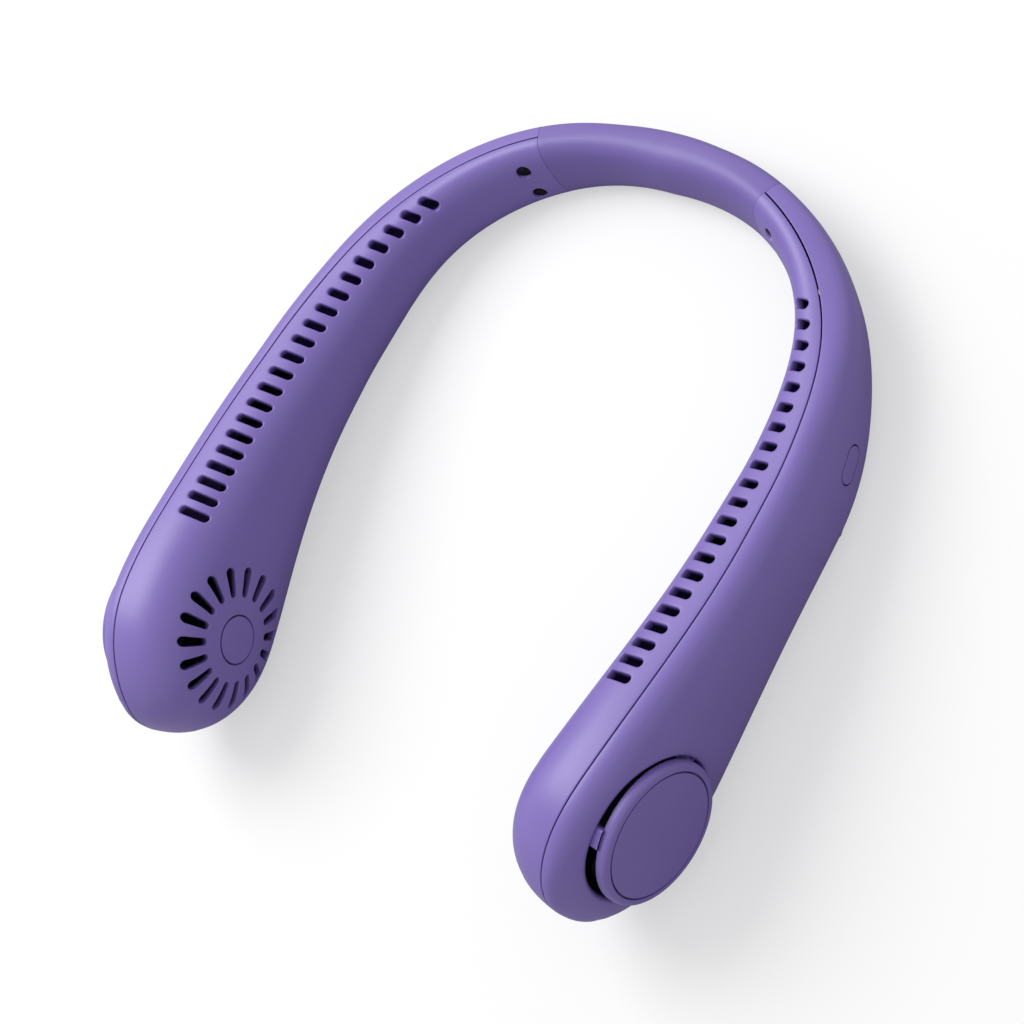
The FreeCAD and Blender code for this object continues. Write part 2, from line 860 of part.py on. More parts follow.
cap_disc = doc.addObject("Part::Cylinder", "right_cap_disc")
cap_disc.Label = "right_cap_disc"
cap_disc.setExpression("Radius", "sizes.cap_disc_radius")
cap_disc.setExpression("Height", "sizes.cap_disc_thickness")
cap_disc.Placement = cap_frame.multiply(Placement(Vector(0, 0, float(disc_seat)), Rotation()))
parts.append(cap_disc)
both_sides("cap_disc", cap_disc)


# Fan motor: mount, bearing and stator stay with the arm; shaft, magnets, cup and impeller turn

motor_frame = fan.multiply(Placement(Vector(0, 0, boss_seat), Rotation()))
stator_low = size("mount_plate") + size("stator_lift")
stator_high = stator_low + size("stator_height")
tube_top = size("mount_plate") + size("tube_height")
magnet_in = size("stator_radius") + size("air_gap")
magnet_out = magnet_in + size("magnet_thickness")
cup_out = magnet_out + size("cup_wall")
cup_low = tube_top + size("cup_clearance")
cup_high = cup_low + size("cup_wall")
hub_out = cup_out + size("impeller_hub_wall")
skirt_low = stator_low

mount = body_at("right_motor_mount", motor_frame)
turn(mount, "mount_turned", [
    (size("bearing_radius"), 0),
    (size("mount_radius"), 0),
    (size("mount_radius"), size("mount_plate")),
    (size("tube_radius"), size("mount_plate")),
    (size("tube_radius"), tube_top),
    (size("bearing_radius"), tube_top),
])
both_sides("motor_mount", mount)

bearing = body_at("right_bearing", motor_frame)
bore = size("shaft_radius") + size("running_gap")
turn(bearing, "bearing_turned", ring_corners(bore, size("bearing_radius"), size("mount_plate"), tube_top))
both_sides("bearing", bearing)

stator = body_at("right_stator", motor_frame)
core_corners = ring_corners(size("tube_radius"), size("stator_core_radius"), stator_low, stator_high)
turn(stator, "stator_core", core_corners)
half_pole = size("pole_width") / 2
pole_root = size("stator_core_radius") - size("fit") * 2
pole = pad(
    stator,
    "stator_pole",
    [
        (pole_root, -half_pole),
        (size("stator_radius") - size("fit"), -half_pole),
        (size("stator_radius") - size("fit"), half_pole),
        (pole_root, half_pole),
    ],
    size("stator_height"),
    low=stator_low,
)
repeat(stator, pole, size("pole_count"))
both_sides("stator", stator)

shaft = doc.addObject("Part::Cylinder", "right_shaft")
shaft.Label = "right_shaft"
shaft.setExpression("Radius", "sizes.shaft_radius")
shaft.setExpression("Height", (cup_low - size("mount_plate")).text)
shaft.Placement = motor_frame.multiply(Placement(Vector(0, 0, mm("mount_plate")), Rotation()))
parts.append(shaft)
both_sides("shaft", shaft)

magnets = body_at("right_magnet_ring", motor_frame)
turn(magnets, "magnet_turned", ring_corners(magnet_in, magnet_out, stator_low, stator_high))
both_sides("magnet_ring", magnets)

cup = body_at("right_rotor_cup", motor_frame)
turn(cup, "cup_turned", [
    (magnet_out, skirt_low),
    (cup_out, skirt_low),
    (cup_out, cup_high),
    (0, cup_high),
    (0, cup_low),
    (magnet_out, cup_low),
])
both_sides("rotor_cup", cup)

impeller = body_at("right_impeller", motor_frame)
hub_high = cup_high + size("impeller_hub_wall")
blade_low = skirt_low + size("blade_lift")
plate_low = blade_low + size("blade_height") / 2
plate_high = plate_low + size("impeller_plate")
rim_radius = size("impeller_radius")
turn(impeller, "impeller_hub", [
    (cup_out, skirt_low),
    (hub_out, skirt_low),
    (hub_out, plate_low),
    (rim_radius, plate_low),
    (rim_radius, plate_high),
    (hub_out, plate_high),
    (hub_out, hub_high),
    (0, hub_high),
    (0, cup_high),
    (cup_out, cup_high),
])
sweep = math.radians(mm("blade_sweep"))
blade_tip = rim_radius - size("fit")
tip_x = blade_tip * math.cos(sweep)
tip_y = blade_tip * math.sin(sweep)
bow_x = (size("blade_root_radius") + tip_x) / 2
bow_y = tip_y / 2 - size("blade_bow")
thick = size("blade_thickness")
blade = pad(
    impeller,
    "impeller_blade",
    [
        (size("blade_root_radius"), 0),
        (bow_x, bow_y),
        (tip_x, tip_y),
        (tip_x - thick / 2, tip_y + thick),
        (bow_x, bow_y + thick),
        (size("blade_root_radius"), thick),
    ],
    size("blade_height"),
    low=blade_low,
)
repeat(impeller, blade, size("blade_count"))
both_sides("impeller", impeller)


# Battery, board, switch and socket

battery_frame = bay.multiply(Placement(Vector(-mm("floor_thickness"), 0, mm("battery_side")), Rotation()))
battery = body_at("right_battery", battery_frame)
half_width = size("battery_width") / 2
half_length = size("battery_length") / 2
cell = pad(
    battery,
    "battery_cell",
    [
        (-size("battery_thickness"), -half_length),
        (0, -half_length),
        (0, half_length),
        (-size("battery_thickness"), half_length),
    ],
    size("battery_width"),
    low=-half_width,
)
round_edges(
    battery,
    cell,
    size("battery_round"),
    lambda edge: edge.Length > mm("battery_length") - mm("fit"),
)
both_sides("battery", battery)

board_frame = button.multiply(Placement(Vector(0, 0, board_top), Rotation()))
half_board = size("board_height") / 2
board = body_at("main_board", board_frame)
pad(
    board,
    "board_plate",
    [
        (-half_board, size("board_shift") - size("board_length") / 2),
        (half_board, size("board_shift") - size("board_length") / 2),
        (half_board, size("board_shift") + size("board_length") / 2),
        (-half_board, size("board_shift") + size("board_length") / 2),
    ],
    size("board_thickness"),
    low=-size("board_thickness"),
)

switch = body_at("button_switch", board_frame)
half_switch = size("switch_size") / 2
switch_corners = [
    (-half_switch, -half_switch),
    (half_switch, -half_switch),
    (half_switch, half_switch),
    (-half_switch, half_switch),
]
pad(switch, "switch_case", switch_corners, size("switch_height"))
stem_hole = switch.newObject("PartDesign::Pocket", "switch_hole")
hole_sketch = switch.newObject("Sketcher::SketchObject", "switch_hole_outline")
hole_sketch.AttachmentSupport = [(origin_feature(switch, "XY_Plane"), "")]
hole_sketch.MapMode = "FlatFace"
hole_sketch.addGeometry(Part.Circle(Vector(), Vector(0, 0, 1), mm("stem_radius") + 2 * mm("fit")))
hole_sketch.addConstraint(Sketcher.Constraint("Coincident", 0, 3, -1, 1))
tie(
    hole_sketch,
    Sketcher.Constraint("Radius", 0, mm("stem_radius") + 2 * mm("fit")),
    size("stem_radius") + size("fit") * 2,
)
stem_hole.Profile = hole_sketch
stem_hole.Type = "ThroughAll"
stem_hole.Midplane = True
switch.Tip = stem_hole
doc.recompute()

stem = doc.addObject("Part::Cylinder", "switch_stem")
stem.Label = "switch_stem"
stem.setExpression("Radius", "sizes.stem_radius")
stem.setExpression("Height", "sizes.stem_height")
stem.Placement = button.multiply(Placement(Vector(0, 0, stem_low), Rotation()))
parts.append(stem)


def charging_socket():
    """Pressed metal shell of the charging socket with its contact tongue."""
    frame = socket_frame()
    wall = 2 * mm("socket_shell")
    shell = pill(mm("socket_width"), mm("socket_thickness"), 0, mm("socket_depth"), frame)
    hollow = pill(
        mm("socket_width") - wall,
        mm("socket_thickness") - wall,
        -OUTSIDE,
        mm("socket_depth") - mm("socket_shell"),
        frame,
    )
    tongue = Part.makeBox(
        mm("tongue_thickness"),
        mm("tongue_width"),
        mm("tongue_reach"),
        Vector(-mm("tongue_thickness") / 2, -mm("tongue_width") / 2, mm("socket_depth") - mm("tongue_reach")),
    )
    return shell.cut(hollow).fuse(placed(tongue, frame))


keep("charging_socket", charging_socket())

doc.recompute()
for item in doc.Objects:
    if "Invalid" in item.State or "Error" in item.State:
        raise RuntimeError(f"{item.Label} failed: {item.State}")
for item in parts:
    if item.Shape.isNull() or not item.Shape.isValid():
        raise RuntimeError(f"{item.Label} has no valid shape")

os.makedirs("parts", exist_ok=True)
for item in parts:
    item.Shape.exportStep(f"parts/{item.Label}.step")
    print(item.Label, len(item.Shape.Solids), round(item.Shape.Volume, 1))
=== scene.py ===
# %% [markdown]
# A neck fan in violet plastic. The CAD model gives the frame: its bodies, its joints and its sizes.
# This lesson dresses that frame. Every new surface is worked out with numpy in millimetres, as a
# function of two parameters, and is turned into metres only when it becomes a mesh.

import math

import bmesh
import bpy
import numpy as np
from mathutils import Euler, Matrix, Vector


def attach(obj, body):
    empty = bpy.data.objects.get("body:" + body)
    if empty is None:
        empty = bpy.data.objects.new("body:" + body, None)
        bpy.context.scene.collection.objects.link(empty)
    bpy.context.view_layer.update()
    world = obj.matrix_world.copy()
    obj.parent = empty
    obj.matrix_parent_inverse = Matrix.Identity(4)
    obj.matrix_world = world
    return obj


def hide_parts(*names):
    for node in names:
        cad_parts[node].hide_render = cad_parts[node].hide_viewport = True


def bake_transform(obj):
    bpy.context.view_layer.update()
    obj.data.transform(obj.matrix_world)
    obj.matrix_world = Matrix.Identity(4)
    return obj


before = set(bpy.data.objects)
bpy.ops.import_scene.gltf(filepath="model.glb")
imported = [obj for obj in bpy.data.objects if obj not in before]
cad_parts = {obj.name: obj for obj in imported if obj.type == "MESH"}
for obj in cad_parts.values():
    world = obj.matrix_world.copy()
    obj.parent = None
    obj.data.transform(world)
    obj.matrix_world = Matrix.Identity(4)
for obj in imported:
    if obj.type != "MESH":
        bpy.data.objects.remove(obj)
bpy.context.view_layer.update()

# %% [markdown]
# The collar is one oval section carried along a line, its spine. The oval's height, widths and lean
# change along the spine, so each is a curve through a few stations, in millimetres from the nape.
# Straight lines between the stations would show as kinks in the shine. A cubic through all of them,
# whose pieces share slope and curvature where they meet, shows none.

# %% Section sizes
JOINT_AT, SPINE = 36.0, 229.5
STATION = np.array([-JOINT_AT, 0, JOINT_AT, 75, 105, 140, 170, 195, SPINE])
SECTION = {
    "z": np.array([10.4, 9.05, 10.4, 12.1, 14.15, 19.1, 22.6, 24.36, 25.2]),
    "rise": np.array([9.8, 8.95, 9.8, 10.6, 13.5, 16.2, 20.4, 24.26, 19.3]),
    "inner": np.array([4.95, 7.0, 4.95, 8.2, 14.0, 15.8, 17.5, 19.2, 22.5]),
    "outer": np.array([5.65, 4.9, 5.65, 8.4, 7.1, 7.95, 8.65, 9.2, 6.8]),
    "lean": np.array([15.2, 14.0, 15.2, 12.9, -1.5, 2.0, 3.0, 2.4, -5.4]),
}


def knot_slopes(x, y):
    """Slopes that make a cubic through the points smooth. Inside, the second derivatives of
    neighbouring pieces agree. At each end, the slope is that of the cubic through four points."""
    n = len(x)
    h = np.diff(x)
    rows = np.eye(n)
    right = np.zeros(n)
    right[0] = np.polyfit(x[:4] - x[0], y[:4], 3)[2]
    right[-1] = np.polyfit(x[-4:] - x[-1], y[-4:], 3)[2]
    inside = np.arange(1, n - 1)
    rows[inside, inside - 1] = 1 / h[:-1]
    rows[inside, inside] = 2 / h[:-1] + 2 / h[1:]
    rows[inside, inside + 1] = 1 / h[1:]
    right[1:-1] = 3 * ((y[1:-1] - y[:-2]) / h[:-1] ** 2 + (y[2:] - y[1:-1]) / h[1:] ** 2)
    return np.linalg.solve(rows, right)


SLOPES = {name: knot_slopes(STATION, values) for name, values in SECTION.items()}


def section(u, name):
    """One section size at distance u: the cubic piece between two stations, from their values and slopes."""
    u = np.abs(u)
    i = np.clip(np.searchsorted(STATION, u) - 1, 0, len(STATION) - 2)
    h = STATION[i + 1] - STATION[i]
    t = (u - STATION[i]) / h
    y, m = SECTION[name], SLOPES[name]
    return (
        y[i] * (1 + 2 * t) * (1 - t) ** 2
        + m[i] * h * t * (1 - t) ** 2
        + y[i + 1] * t**2 * (3 - 2 * t)
        + m[i + 1] * h * t**2 * (t - 1)
    )


print("section sizes", list(SECTION), "at", len(STATION), "stations")

# %% [markdown]
# Seen from above, the spine is an arc round the nape that runs on into a nearly straight arm. Two arcs
# with one tangent where they meet are enough for it, and unlike a drawn curve they give the direction
# along the arm exactly. Only the right arm is worked out, because the left one is its mirror image.

# %% Spine
NAPE_Y, NAPE_RADIUS, ARM_RADIUS = 88.8, 78.5, 570.0
UP = np.array([0.0, 0.0, 1.0])


def spine(u):
    """Spine points with the directions along and out: a quarter turn of the nape arc, then the arm arc."""
    u = np.asarray(u, float)
    bend = NAPE_RADIUS * math.pi / 2
    on_arm = u > bend
    radius = np.where(on_arm, ARM_RADIUS, NAPE_RADIUS)
    turn = np.where(on_arm, math.pi / 2 + (u - bend) / ARM_RADIUS, u / NAPE_RADIUS)
    zero = np.zeros_like(u)
    out = np.stack([np.sin(turn), np.cos(turn), zero], -1)
    along = np.stack([np.cos(turn), -np.sin(turn), zero], -1)
    aside = np.where(on_arm, NAPE_RADIUS - ARM_RADIUS, 0.0)
    centre = np.stack([aside, zero + NAPE_Y - NAPE_RADIUS, zero], -1)
    point = centre + out * radius[..., None]
    point[..., 2] = section(u, "z")
    return point, along, out


print("spine end", spine(np.array(SPINE))[0].round(2).tolist())

# %% [markdown]
# The section is a superellipse: an oval that one number makes rounder or squarer. Its half width is
# not the same on both sides of its crest. The real collar has a soft crease along its outer shoulder, so the
# top outer quarter is squarer near the band. The head closes along a superellipse too. One oval with
# a few settings keeps the whole collar smooth, where joined primitives would show their joins.

# %% Oval section
SECTION_POWER, CREASE_POWER, CREASE_START, CREASE_END = 2.65, 4.5, 12.0, 100.0
NOSE_FROM, NOSE_POWER = 197.5, 2.5
TINY = 1e-9


def fade(u, start, end):
    """Smooth step from nought at the start to one at the end: 3 t^2 - 2 t^3."""
    t = np.clip((u - start) / (end - start), 0, 1)
    return t * t * (3 - 2 * t)


def crease(u):
    """Roundness n of the top outer quarter: squarest at the band joint, easing into the plain oval
    along the band and along the arm."""
    reach = np.where(u < JOINT_AT, JOINT_AT - CREASE_START, CREASE_END - JOINT_AT)
    return CREASE_POWER + (SECTION_POWER - CREASE_POWER) * fade(np.abs(u - JOINT_AT), 0, reach)


def nose(u):
    """Factor that closes the head: a quarter of a superellipse from the full section to the tip."""
    t = np.clip((u - NOSE_FROM) / (SPINE - NOSE_FROM), 0, 1)
    return (1 - t**NOSE_POWER) ** (1 / NOSE_POWER)


def section_axes(u):
    """Spine point with the section's own up and across directions, which lean outwards together."""
    point, _, out = spine(u)
    lean = np.radians(section(u, "lean"))[..., None]
    return point, UP * np.cos(lean) + out * np.sin(lean), out * np.cos(lean) - UP * np.sin(lean)


def oval(u, angle, inset=0.0):
    """Skin point at distance u and an angle from outward (0) over the top (90) to inward (180).
    Across is cos^(2/n) times a half width and up is sin^(2/n) times the half height."""
    u, angle = np.broadcast_arrays(np.asarray(u, float), np.radians(angle))
    point, up, across = section_axes(u)
    c, s = np.cos(angle), np.sin(angle)
    half = np.where(c > 0, section(u, "outer"), section(u, "inner")) - inset
    power = 2 / np.where((c > 0) & (s > 0), crease(u), SECTION_POWER)
    x = np.sign(c) * np.abs(c) ** power * half
    y = np.sign(s) * np.abs(s) ** power * (section(u, "rise") - inset)
    return point + (across * x[..., None] + up * y[..., None]) * nose(u)[..., None]


def face(u, p, side):
    """Skin point at distance u and p millimetres up the section, on the outer (+1) or inner (-1) side.
    The superellipse gives across = half width times (1 - |p / half height|^n)^(1/n)."""
    point, up, across = section_axes(u)
    k = nose(u)
    share = np.clip(np.abs(p) / (section(u, "rise") * k + TINY), 0, 1)
    half = section(u, "outer" if side > 0 else "inner") * k
    power = np.where((side > 0) & (p > 0), crease(u), SECTION_POWER)
    w = side * half * (1 - share**power) ** (1 / power)
    return point + across * w[..., None] + up * p[..., None]


print("crest at the joint", oval(np.array([JOINT_AT]), 90).round(2).tolist())

# %% [markdown]
# The camera is set up before any piece is made. Its place, turn and focal length were solved from the
# mirror symmetry of the two arms in the photograph. Turning it by hand until the outlines agree would
# take far longer.

# %% Camera
MM = 0.001
CAMERA_AT, CAMERA_TURN = (415.70, -89.13, 572.22), (22.1786, 30.5253, 27.9888)
FOCAL_PIXELS, FRAME_PIXELS, SENSOR_WIDTH = 2830.0, 1024.0, 36.0

camera = bpy.data.objects.new("camera", bpy.data.cameras.new("camera"))
camera.data.sensor_width = SENSOR_WIDTH
camera.data.lens = FOCAL_PIXELS / FRAME_PIXELS * SENSOR_WIDTH
camera_turn = Euler([math.radians(angle) for angle in CAMERA_TURN])
camera.matrix_world = Matrix.LocRotScale(Vector(CAMERA_AT) * MM, camera_turn, None)
bpy.context.scene.collection.objects.link(camera)
bpy.context.scene.camera = camera
print("lens", round(camera.data.lens, 2))

# %% [markdown]
# A shell is drawn as a grid: columns run along the spine and rows run round the section. Rows are
# spaced by distance along the skin, because equal angles would crowd the flat sides of an oval.
# The table below holds that spacing for both halves, once, and the grids read it.

# %% Distance round each half of the section
TABLE_COLUMNS, TABLE_ANGLES, TABLE_SHARES = 160, 721, 241
TABLE_NOSE = (1, 89.9, 80)


def toward_tip(first, last, count):
    """Distances over the nose that crowd towards its tip: the sine of evenly spaced degrees."""
    return NOSE_FROM + (SPINE - NOSE_FROM) * np.sin(np.radians(np.linspace(first, last, count)))


def run_length(points):
    """Distance along each polyline, from nought: the running sum of the lengths of its steps."""
    steps = np.linalg.norm(np.diff(points, axis=-2), axis=-1)
    return np.concatenate([0 * steps[..., :1], np.cumsum(steps, axis=-1)], axis=-1)


TABLE_U = np.concatenate([np.linspace(JOINT_AT, NOSE_FROM, TABLE_COLUMNS), toward_tip(*TABLE_NOSE)])
TABLE_T = np.linspace(0, 180, TABLE_ANGLES)


def half_table(sign):
    """Half girths, and angle against share of the half girth: the running length of a fine polyline,
    turned round. The sign says which way the half turns from the crest."""
    run = run_length(oval(TABLE_U[:, None], 90 + sign * TABLE_T[None, :]))
    shares = np.linspace(0, 1, TABLE_SHARES)
    return run[:, -1], np.stack([np.interp(shares * row[-1], row, TABLE_T) for row in run]), sign


HALVES = {"inner": half_table(1.0), "outer": half_table(-1.0)}


def girth(u, half):
    """Length of the half section from the top seam to the bottom seam."""
    return np.interp(u, TABLE_U, HALVES[half][0])


print("girths at the fan end", girth(NOSE_FROM, "inner").round(2), girth(NOSE_FROM, "outer").round(2))

# %% Skin points and normals
NORMAL_STEP = 0.08


def skin(u, v, half):
    """Skin point at distance u along the spine and v round the half section from the top seam. The
    angle is read from the table, weighted by nearness to the four entries round it."""
    u, v = np.broadcast_arrays(np.asarray(u, float), np.asarray(v, float))
    total, turns, sign = HALVES[half]
    share = np.clip(v / np.interp(u, TABLE_U, total), 0, 1) * (turns.shape[1] - 1)
    j = np.clip(share.astype(int), 0, turns.shape[1] - 2)
    f = share - j
    row = np.interp(u, TABLE_U, np.arange(len(TABLE_U)))
    i = np.clip(row.astype(int), 0, len(TABLE_U) - 2)
    g = row - i
    turn = (
        turns[i, j] * (1 - g) * (1 - f)
        + turns[i + 1, j] * g * (1 - f)
        + turns[i, j + 1] * (1 - g) * f
        + turns[i + 1, j + 1] * g * f
    )
    return oval(u, 90 + sign * turn)


def unit(a):
    """Vectors scaled to length one."""
    return a / (np.linalg.norm(a, axis=-1, keepdims=True) + TINY)


def outward(u, v, half):
    """Skin normal: the cross product of the two directions in which the grid runs."""
    du = skin(u + NORMAL_STEP, v, half) - skin(u - NORMAL_STEP, v, half)
    dv = skin(u, v + NORMAL_STEP, half) - skin(u, v - NORMAL_STEP, half)
    return unit(np.cross(dv, du)) * HALVES[half][2]


def on_skin(u, v, half):
    """Skin points and the normals there."""
    return skin(u, v, half), outward(u, v, half)


print("normal on the crest", outward(np.array([JOINT_AT]), np.array([0.0]), "inner").round(3).tolist())

# %% [markdown]
# Patches of a shell are kept as plain arrays of points: rows by columns by three. A book collects
# them and welds them at the end, so that the rings round a slot and the grid beside it become one
# smooth surface. A moulded wall has two faces, so most patches go in twice: once on the skin and once
# moved inwards along the normals. The left arm is the same book with x turned round.

# %% A book of patches
WALL, WELD = 2.0, 0.02


class Patches:
    """Grids of points that become one welded mesh. The grids it starts with close on themselves."""

    def __init__(self, *closed_grids):
        self.points, self.faces, self.count = [], [], 0
        for grid in closed_grids:
            self.add(grid, closed=True)

    def add(self, grid, closed=False, keep=None):
        """Quads between neighbouring points of a grid. Closed joins the last column to the first,
        and keep says which quads stay."""
        rows, columns = grid.shape[:2]
        index = self.count + np.arange(rows * columns).reshape(rows, columns)
        if closed:
            index = np.concatenate([index, index[:, :1]], axis=1)
        quads = np.stack([index[:-1, :-1], index[:-1, 1:], index[1:, 1:], index[1:, :-1]], -1)
        self.points.append(grid.reshape(-1, 3))
        self.faces.append(quads.reshape(-1, 4) if keep is None else quads[keep])
        self.count += rows * columns

    def wall(self, grid, normal, **options):
        """Both faces of a wall: the grid, and the same grid moved inwards along its normals."""
        self.add(grid, **options)
        self.add(grid - normal * WALL, **options)

    def build(self, name, mirrored=False):
        """The welded mesh object, in metres, with its faces turned outwards."""
        points = np.concatenate(self.points) * MM
        if mirrored:
            points = points * [-1, 1, 1]
        mesh = bpy.data.meshes.new(name)
        mesh.from_pydata(points.tolist(), [], np.concatenate(self.faces).tolist())
        work = bmesh.new()
        work.from_mesh(mesh)
        bmesh.ops.remove_doubles(work, verts=work.verts, dist=WELD * MM)
        bmesh.ops.recalc_face_normals(work, faces=work.faces)
        work.to_mesh(mesh)
        work.free()
        mesh.shade_smooth()
        piece = bpy.data.objects.new(name, mesh)
        bpy.context.scene.collection.objects.link(piece)
        return piece


print("welding points closer than", WELD, "mm")

# %% [markdown]
# Moulded plastic has no sharp edges, and the thin line of light along a rounded edge is what makes a
# seam or a hole look real. A bevel modifier would have to be told which of thousands of edges to
# round, so the rounding is worked out as part of the surface: a quarter circle along the edge.

# %% Rounded lips
LIP_STEPS = 4


def lip(loop, ahead, normal, radius, steps=LIP_STEPS):
    """Quarter round along an edge, for t from 0 to 90 degrees: the radius times sin(t) ahead, and the
    radius times 1 - cos(t) down against the normal."""
    turn = np.radians(np.linspace(0, 90, steps + 1))[:, None, None]
    return loop + ahead * radius * np.sin(turn) - normal * radius * (1 - np.cos(turn))


def hole_wall(loop, normal, radius, depth, steps=LIP_STEPS):
    """Rounded lip and wall of a hole: a quarter round towards the hole's middle, then straight in."""
    along = np.roll(loop, -1, axis=0) - np.roll(loop, 1, axis=0)
    inward = unit(np.cross(normal, along))
    inward *= np.sign(np.sum(inward * (loop.mean(axis=0) - loop)))
    edge = lip(loop, inward, normal, radius, steps)
    return np.concatenate([edge, edge[-1:] - normal * (depth - radius)])


def cut_through(book, rings, normal, radius, steps=LIP_STEPS):
    """A hole through the wall: both faces of the rings round it, then its lip and wall to the inner face."""
    book.wall(rings, normal, closed=True)
    edge = hole_wall(rings[-1], normal[-1], radius, WALL, steps)
    book.add(np.concatenate([edge, rings[-1:] - normal[-1:] * WALL]), closed=True)


def closing(loop, shares=(0.5, 1.0)):
    """Loops that close a face: the loop moved by each share of the way to its middle."""
    return np.stack([loop + (loop.mean(axis=0) - loop) * share for share in shares])


print("steps in a lip", LIP_STEPS)

# %% [markdown]
# Cutting openings with booleans would leave long thin triangles that shade badly. Here each opening
# has a block of the grid to itself, and rings of points run from the block's border to the opening.
# Each side of the block faces one side of the opening, so the quads stay even.

# %% Rings round an opening
RING_CROWDING = 1.35


def nearest(values, goals):
    """For each goal, the index of the grid value that lies nearest to it."""
    return tuple(int(np.argmin(np.abs(values - goal))) for goal in goals)


def take_block(mask, us, vs, columns, rows):
    """Border points of a block of the grid, in order round it, for two grids of parameter values.
    The block's own quads leave the mask of those that stay."""
    (i0, i1), (j0, j1) = columns, rows
    mask[j0:j1, i0:i1] = False
    wide, tall = i1 - i0, j1 - j0
    row = np.concatenate([np.full(wide, j0), np.arange(j0, j1), np.full(wide, j1), np.arange(j1, j0, -1)])
    column = np.concatenate([np.arange(i0, i1), np.full(tall, i1), np.arange(i1, i0, -1), np.full(tall, i0)])
    return np.stack([us[row, column], vs[row, column]], -1)


def round_box(columns, rows, half_u, half_v, corner):
    """Contour of a box with round corners, in two parameters. Each side of a block of the grid faces
    one straight side and the halves of the two corners beside it, with as many points as the block has."""

    def side(count, half_along, half_across):
        straight = half_along - corner
        run = np.linspace(-1, 1, count + 1)[:-1] * (straight + corner * np.pi / 4)
        turn = np.maximum(np.abs(run) - straight, 0) / corner
        along = np.sign(run) * (np.minimum(np.abs(run), straight) + corner * np.sin(turn))
        return along, -half_across + corner * (1 - np.cos(turn))

    x, y = side(columns[1] - columns[0], half_u, half_v)
    a, b = side(rows[1] - rows[0], half_v, half_u)
    first, second = np.stack([x, y], -1), np.stack([-b, a], -1)
    return np.concatenate([first, second, -first, -second])


def between(border, contour, rings, power=RING_CROWDING):
    """Rings of parameter points from the border of a block to the contour of its hole,
    crowding towards the hole when the power is above one."""
    share = 1 - (1 - np.linspace(0, 1, rings)) ** power
    return border[None] * (1 - share[:, None, None]) + contour[None] * share[:, None, None]


print("rings crowd by the power", RING_CROWDING)

# %% [markdown]
# Inner shell. It faces the neck, and it carries the outlet slots along its top edge, two screw
# recesses beside the band and the radial grille on the head. The slots come first, because the columns
# of the grid follow them. They run straight across the collar, not square to the arm, so the grid
# lines near them are slid along the spine until they run that way too. Otherwise the slanting slots
# would pull the quads round them out of shape.

# %% Places of the slots
SLOTS, SLOT_FIRST, SLOT_LAST, SLOT_CROWDING = 21, 71.8, 175.5, 0.13
SLOT_EDGE, SLOT_LENGTH, SLOT_MARGIN, SLOT_LOWEST = (2.7, 4.4), (5.7, 9.7), 2.0, 0.52
slot_share = np.linspace(0, 1, SLOTS)
slot_at = SLOT_FIRST + (SLOT_LAST - SLOT_FIRST) * (slot_share + SLOT_CROWDING * slot_share * (1 - slot_share))


def along_slots(u, ends):
    """A slot's measure round the section that grows evenly from the first slot to the last."""
    return np.interp(u, slot_at, ends[0] + (ends[1] - ends[0]) * slot_share)


def slot_end(u):
    """Distance from the seam to the far border of a slot's block of the grid."""
    far = along_slots(u, SLOT_EDGE) + along_slots(u, SLOT_LENGTH) + SLOT_MARGIN
    return np.minimum(far, SLOT_LOWEST * girth(u, "inner"))


print("slots from", slot_at[0].round(2), "to", slot_at[-1].round(2))

# %% Grid lines through the slots
SLANT_BEGINS, SLANT_ENDS, SLANT_LOWEST = (47.0, 66.0), (179.0, 195.0), 0.95
SLIDE_STEPS, SEAM_LINE_STEPS = 6, 12


def slide(a, v):
    """Spine distance of the skin point v below the seam on the grid line that leaves the seam at a.
    Through the slots a line runs straight across the collar, so all its points share one y. Each step
    moves the point along the spine by its miss in y. Below the slots the lines fade back."""
    a, v = np.broadcast_arrays(a, v)
    near = np.minimum(v, slot_end(a))
    goal = skin(a, 0 * v, "inner")[..., 1]
    u = a
    for _ in range(SLIDE_STEPS):
        u = u + (goal - skin(u, near, "inner")[..., 1]) / spine(u)[1][..., 1]
    below = 1 - np.clip((v - near) / (SLANT_LOWEST * girth(a, "inner") - near), 0, 1)
    return a + (u - a) * fade(a, *SLANT_BEGINS) * (1 - fade(a, *SLANT_ENDS)) * below


def seam_line(at, v):
    """Where the grid lines through skin points leave the seam: the inverse of slide, by small steps."""
    a = at
    for _ in range(SEAM_LINE_STEPS):
        a = a + at - slide(a, v)
    return a


line_at = seam_line(slot_at, along_slots(slot_at, SLOT_EDGE))
middles = (line_at[1:] + line_at[:-1]) / 2
borders = np.concatenate([[2 * line_at[0] - middles[0]], middles, [2 * line_at[-1] - middles[-1]]])
print("first slot line leaves the seam at", line_at[0].round(2))

# %% Inner shell grid
SEAM_GAP, SEAM_ROUND, END_ROUND, SEAM_SHARE = 0.17, 0.15, 0.06, 0.1
SCREW_AT, SCREW_BLOCK = 43.0, 3.3
SLOT_COLUMNS, SLOT_ROWS, STRIP_ROWS, GRILLE_ROWS, LOW_ROWS = 8, 16, 3, 36, 10
BAND_END_COLUMNS, NOSE_END = (4, 12, 19), (70, 90, 9)
GRILLE_U, HEAD_FROM, HEAD_EDGE, HEAD_SHARE, HEAD_SLOTS = (179.6, 227.0), 190.0, 9.6, 0.32, 0.75
STRIP_SHARE, LOW_SHARE = 0.03, 0.85


def even_steps(stops, counts):
    """Rows of distances: each stretch between two stops in a count of even steps, and the last stop."""
    rows = [a + (b - a) * np.arange(n)[:, None] / n for a, b, n in zip(stops, stops[1:], counts)]
    return np.concatenate(rows + [np.atleast_2d(stops[-1])])


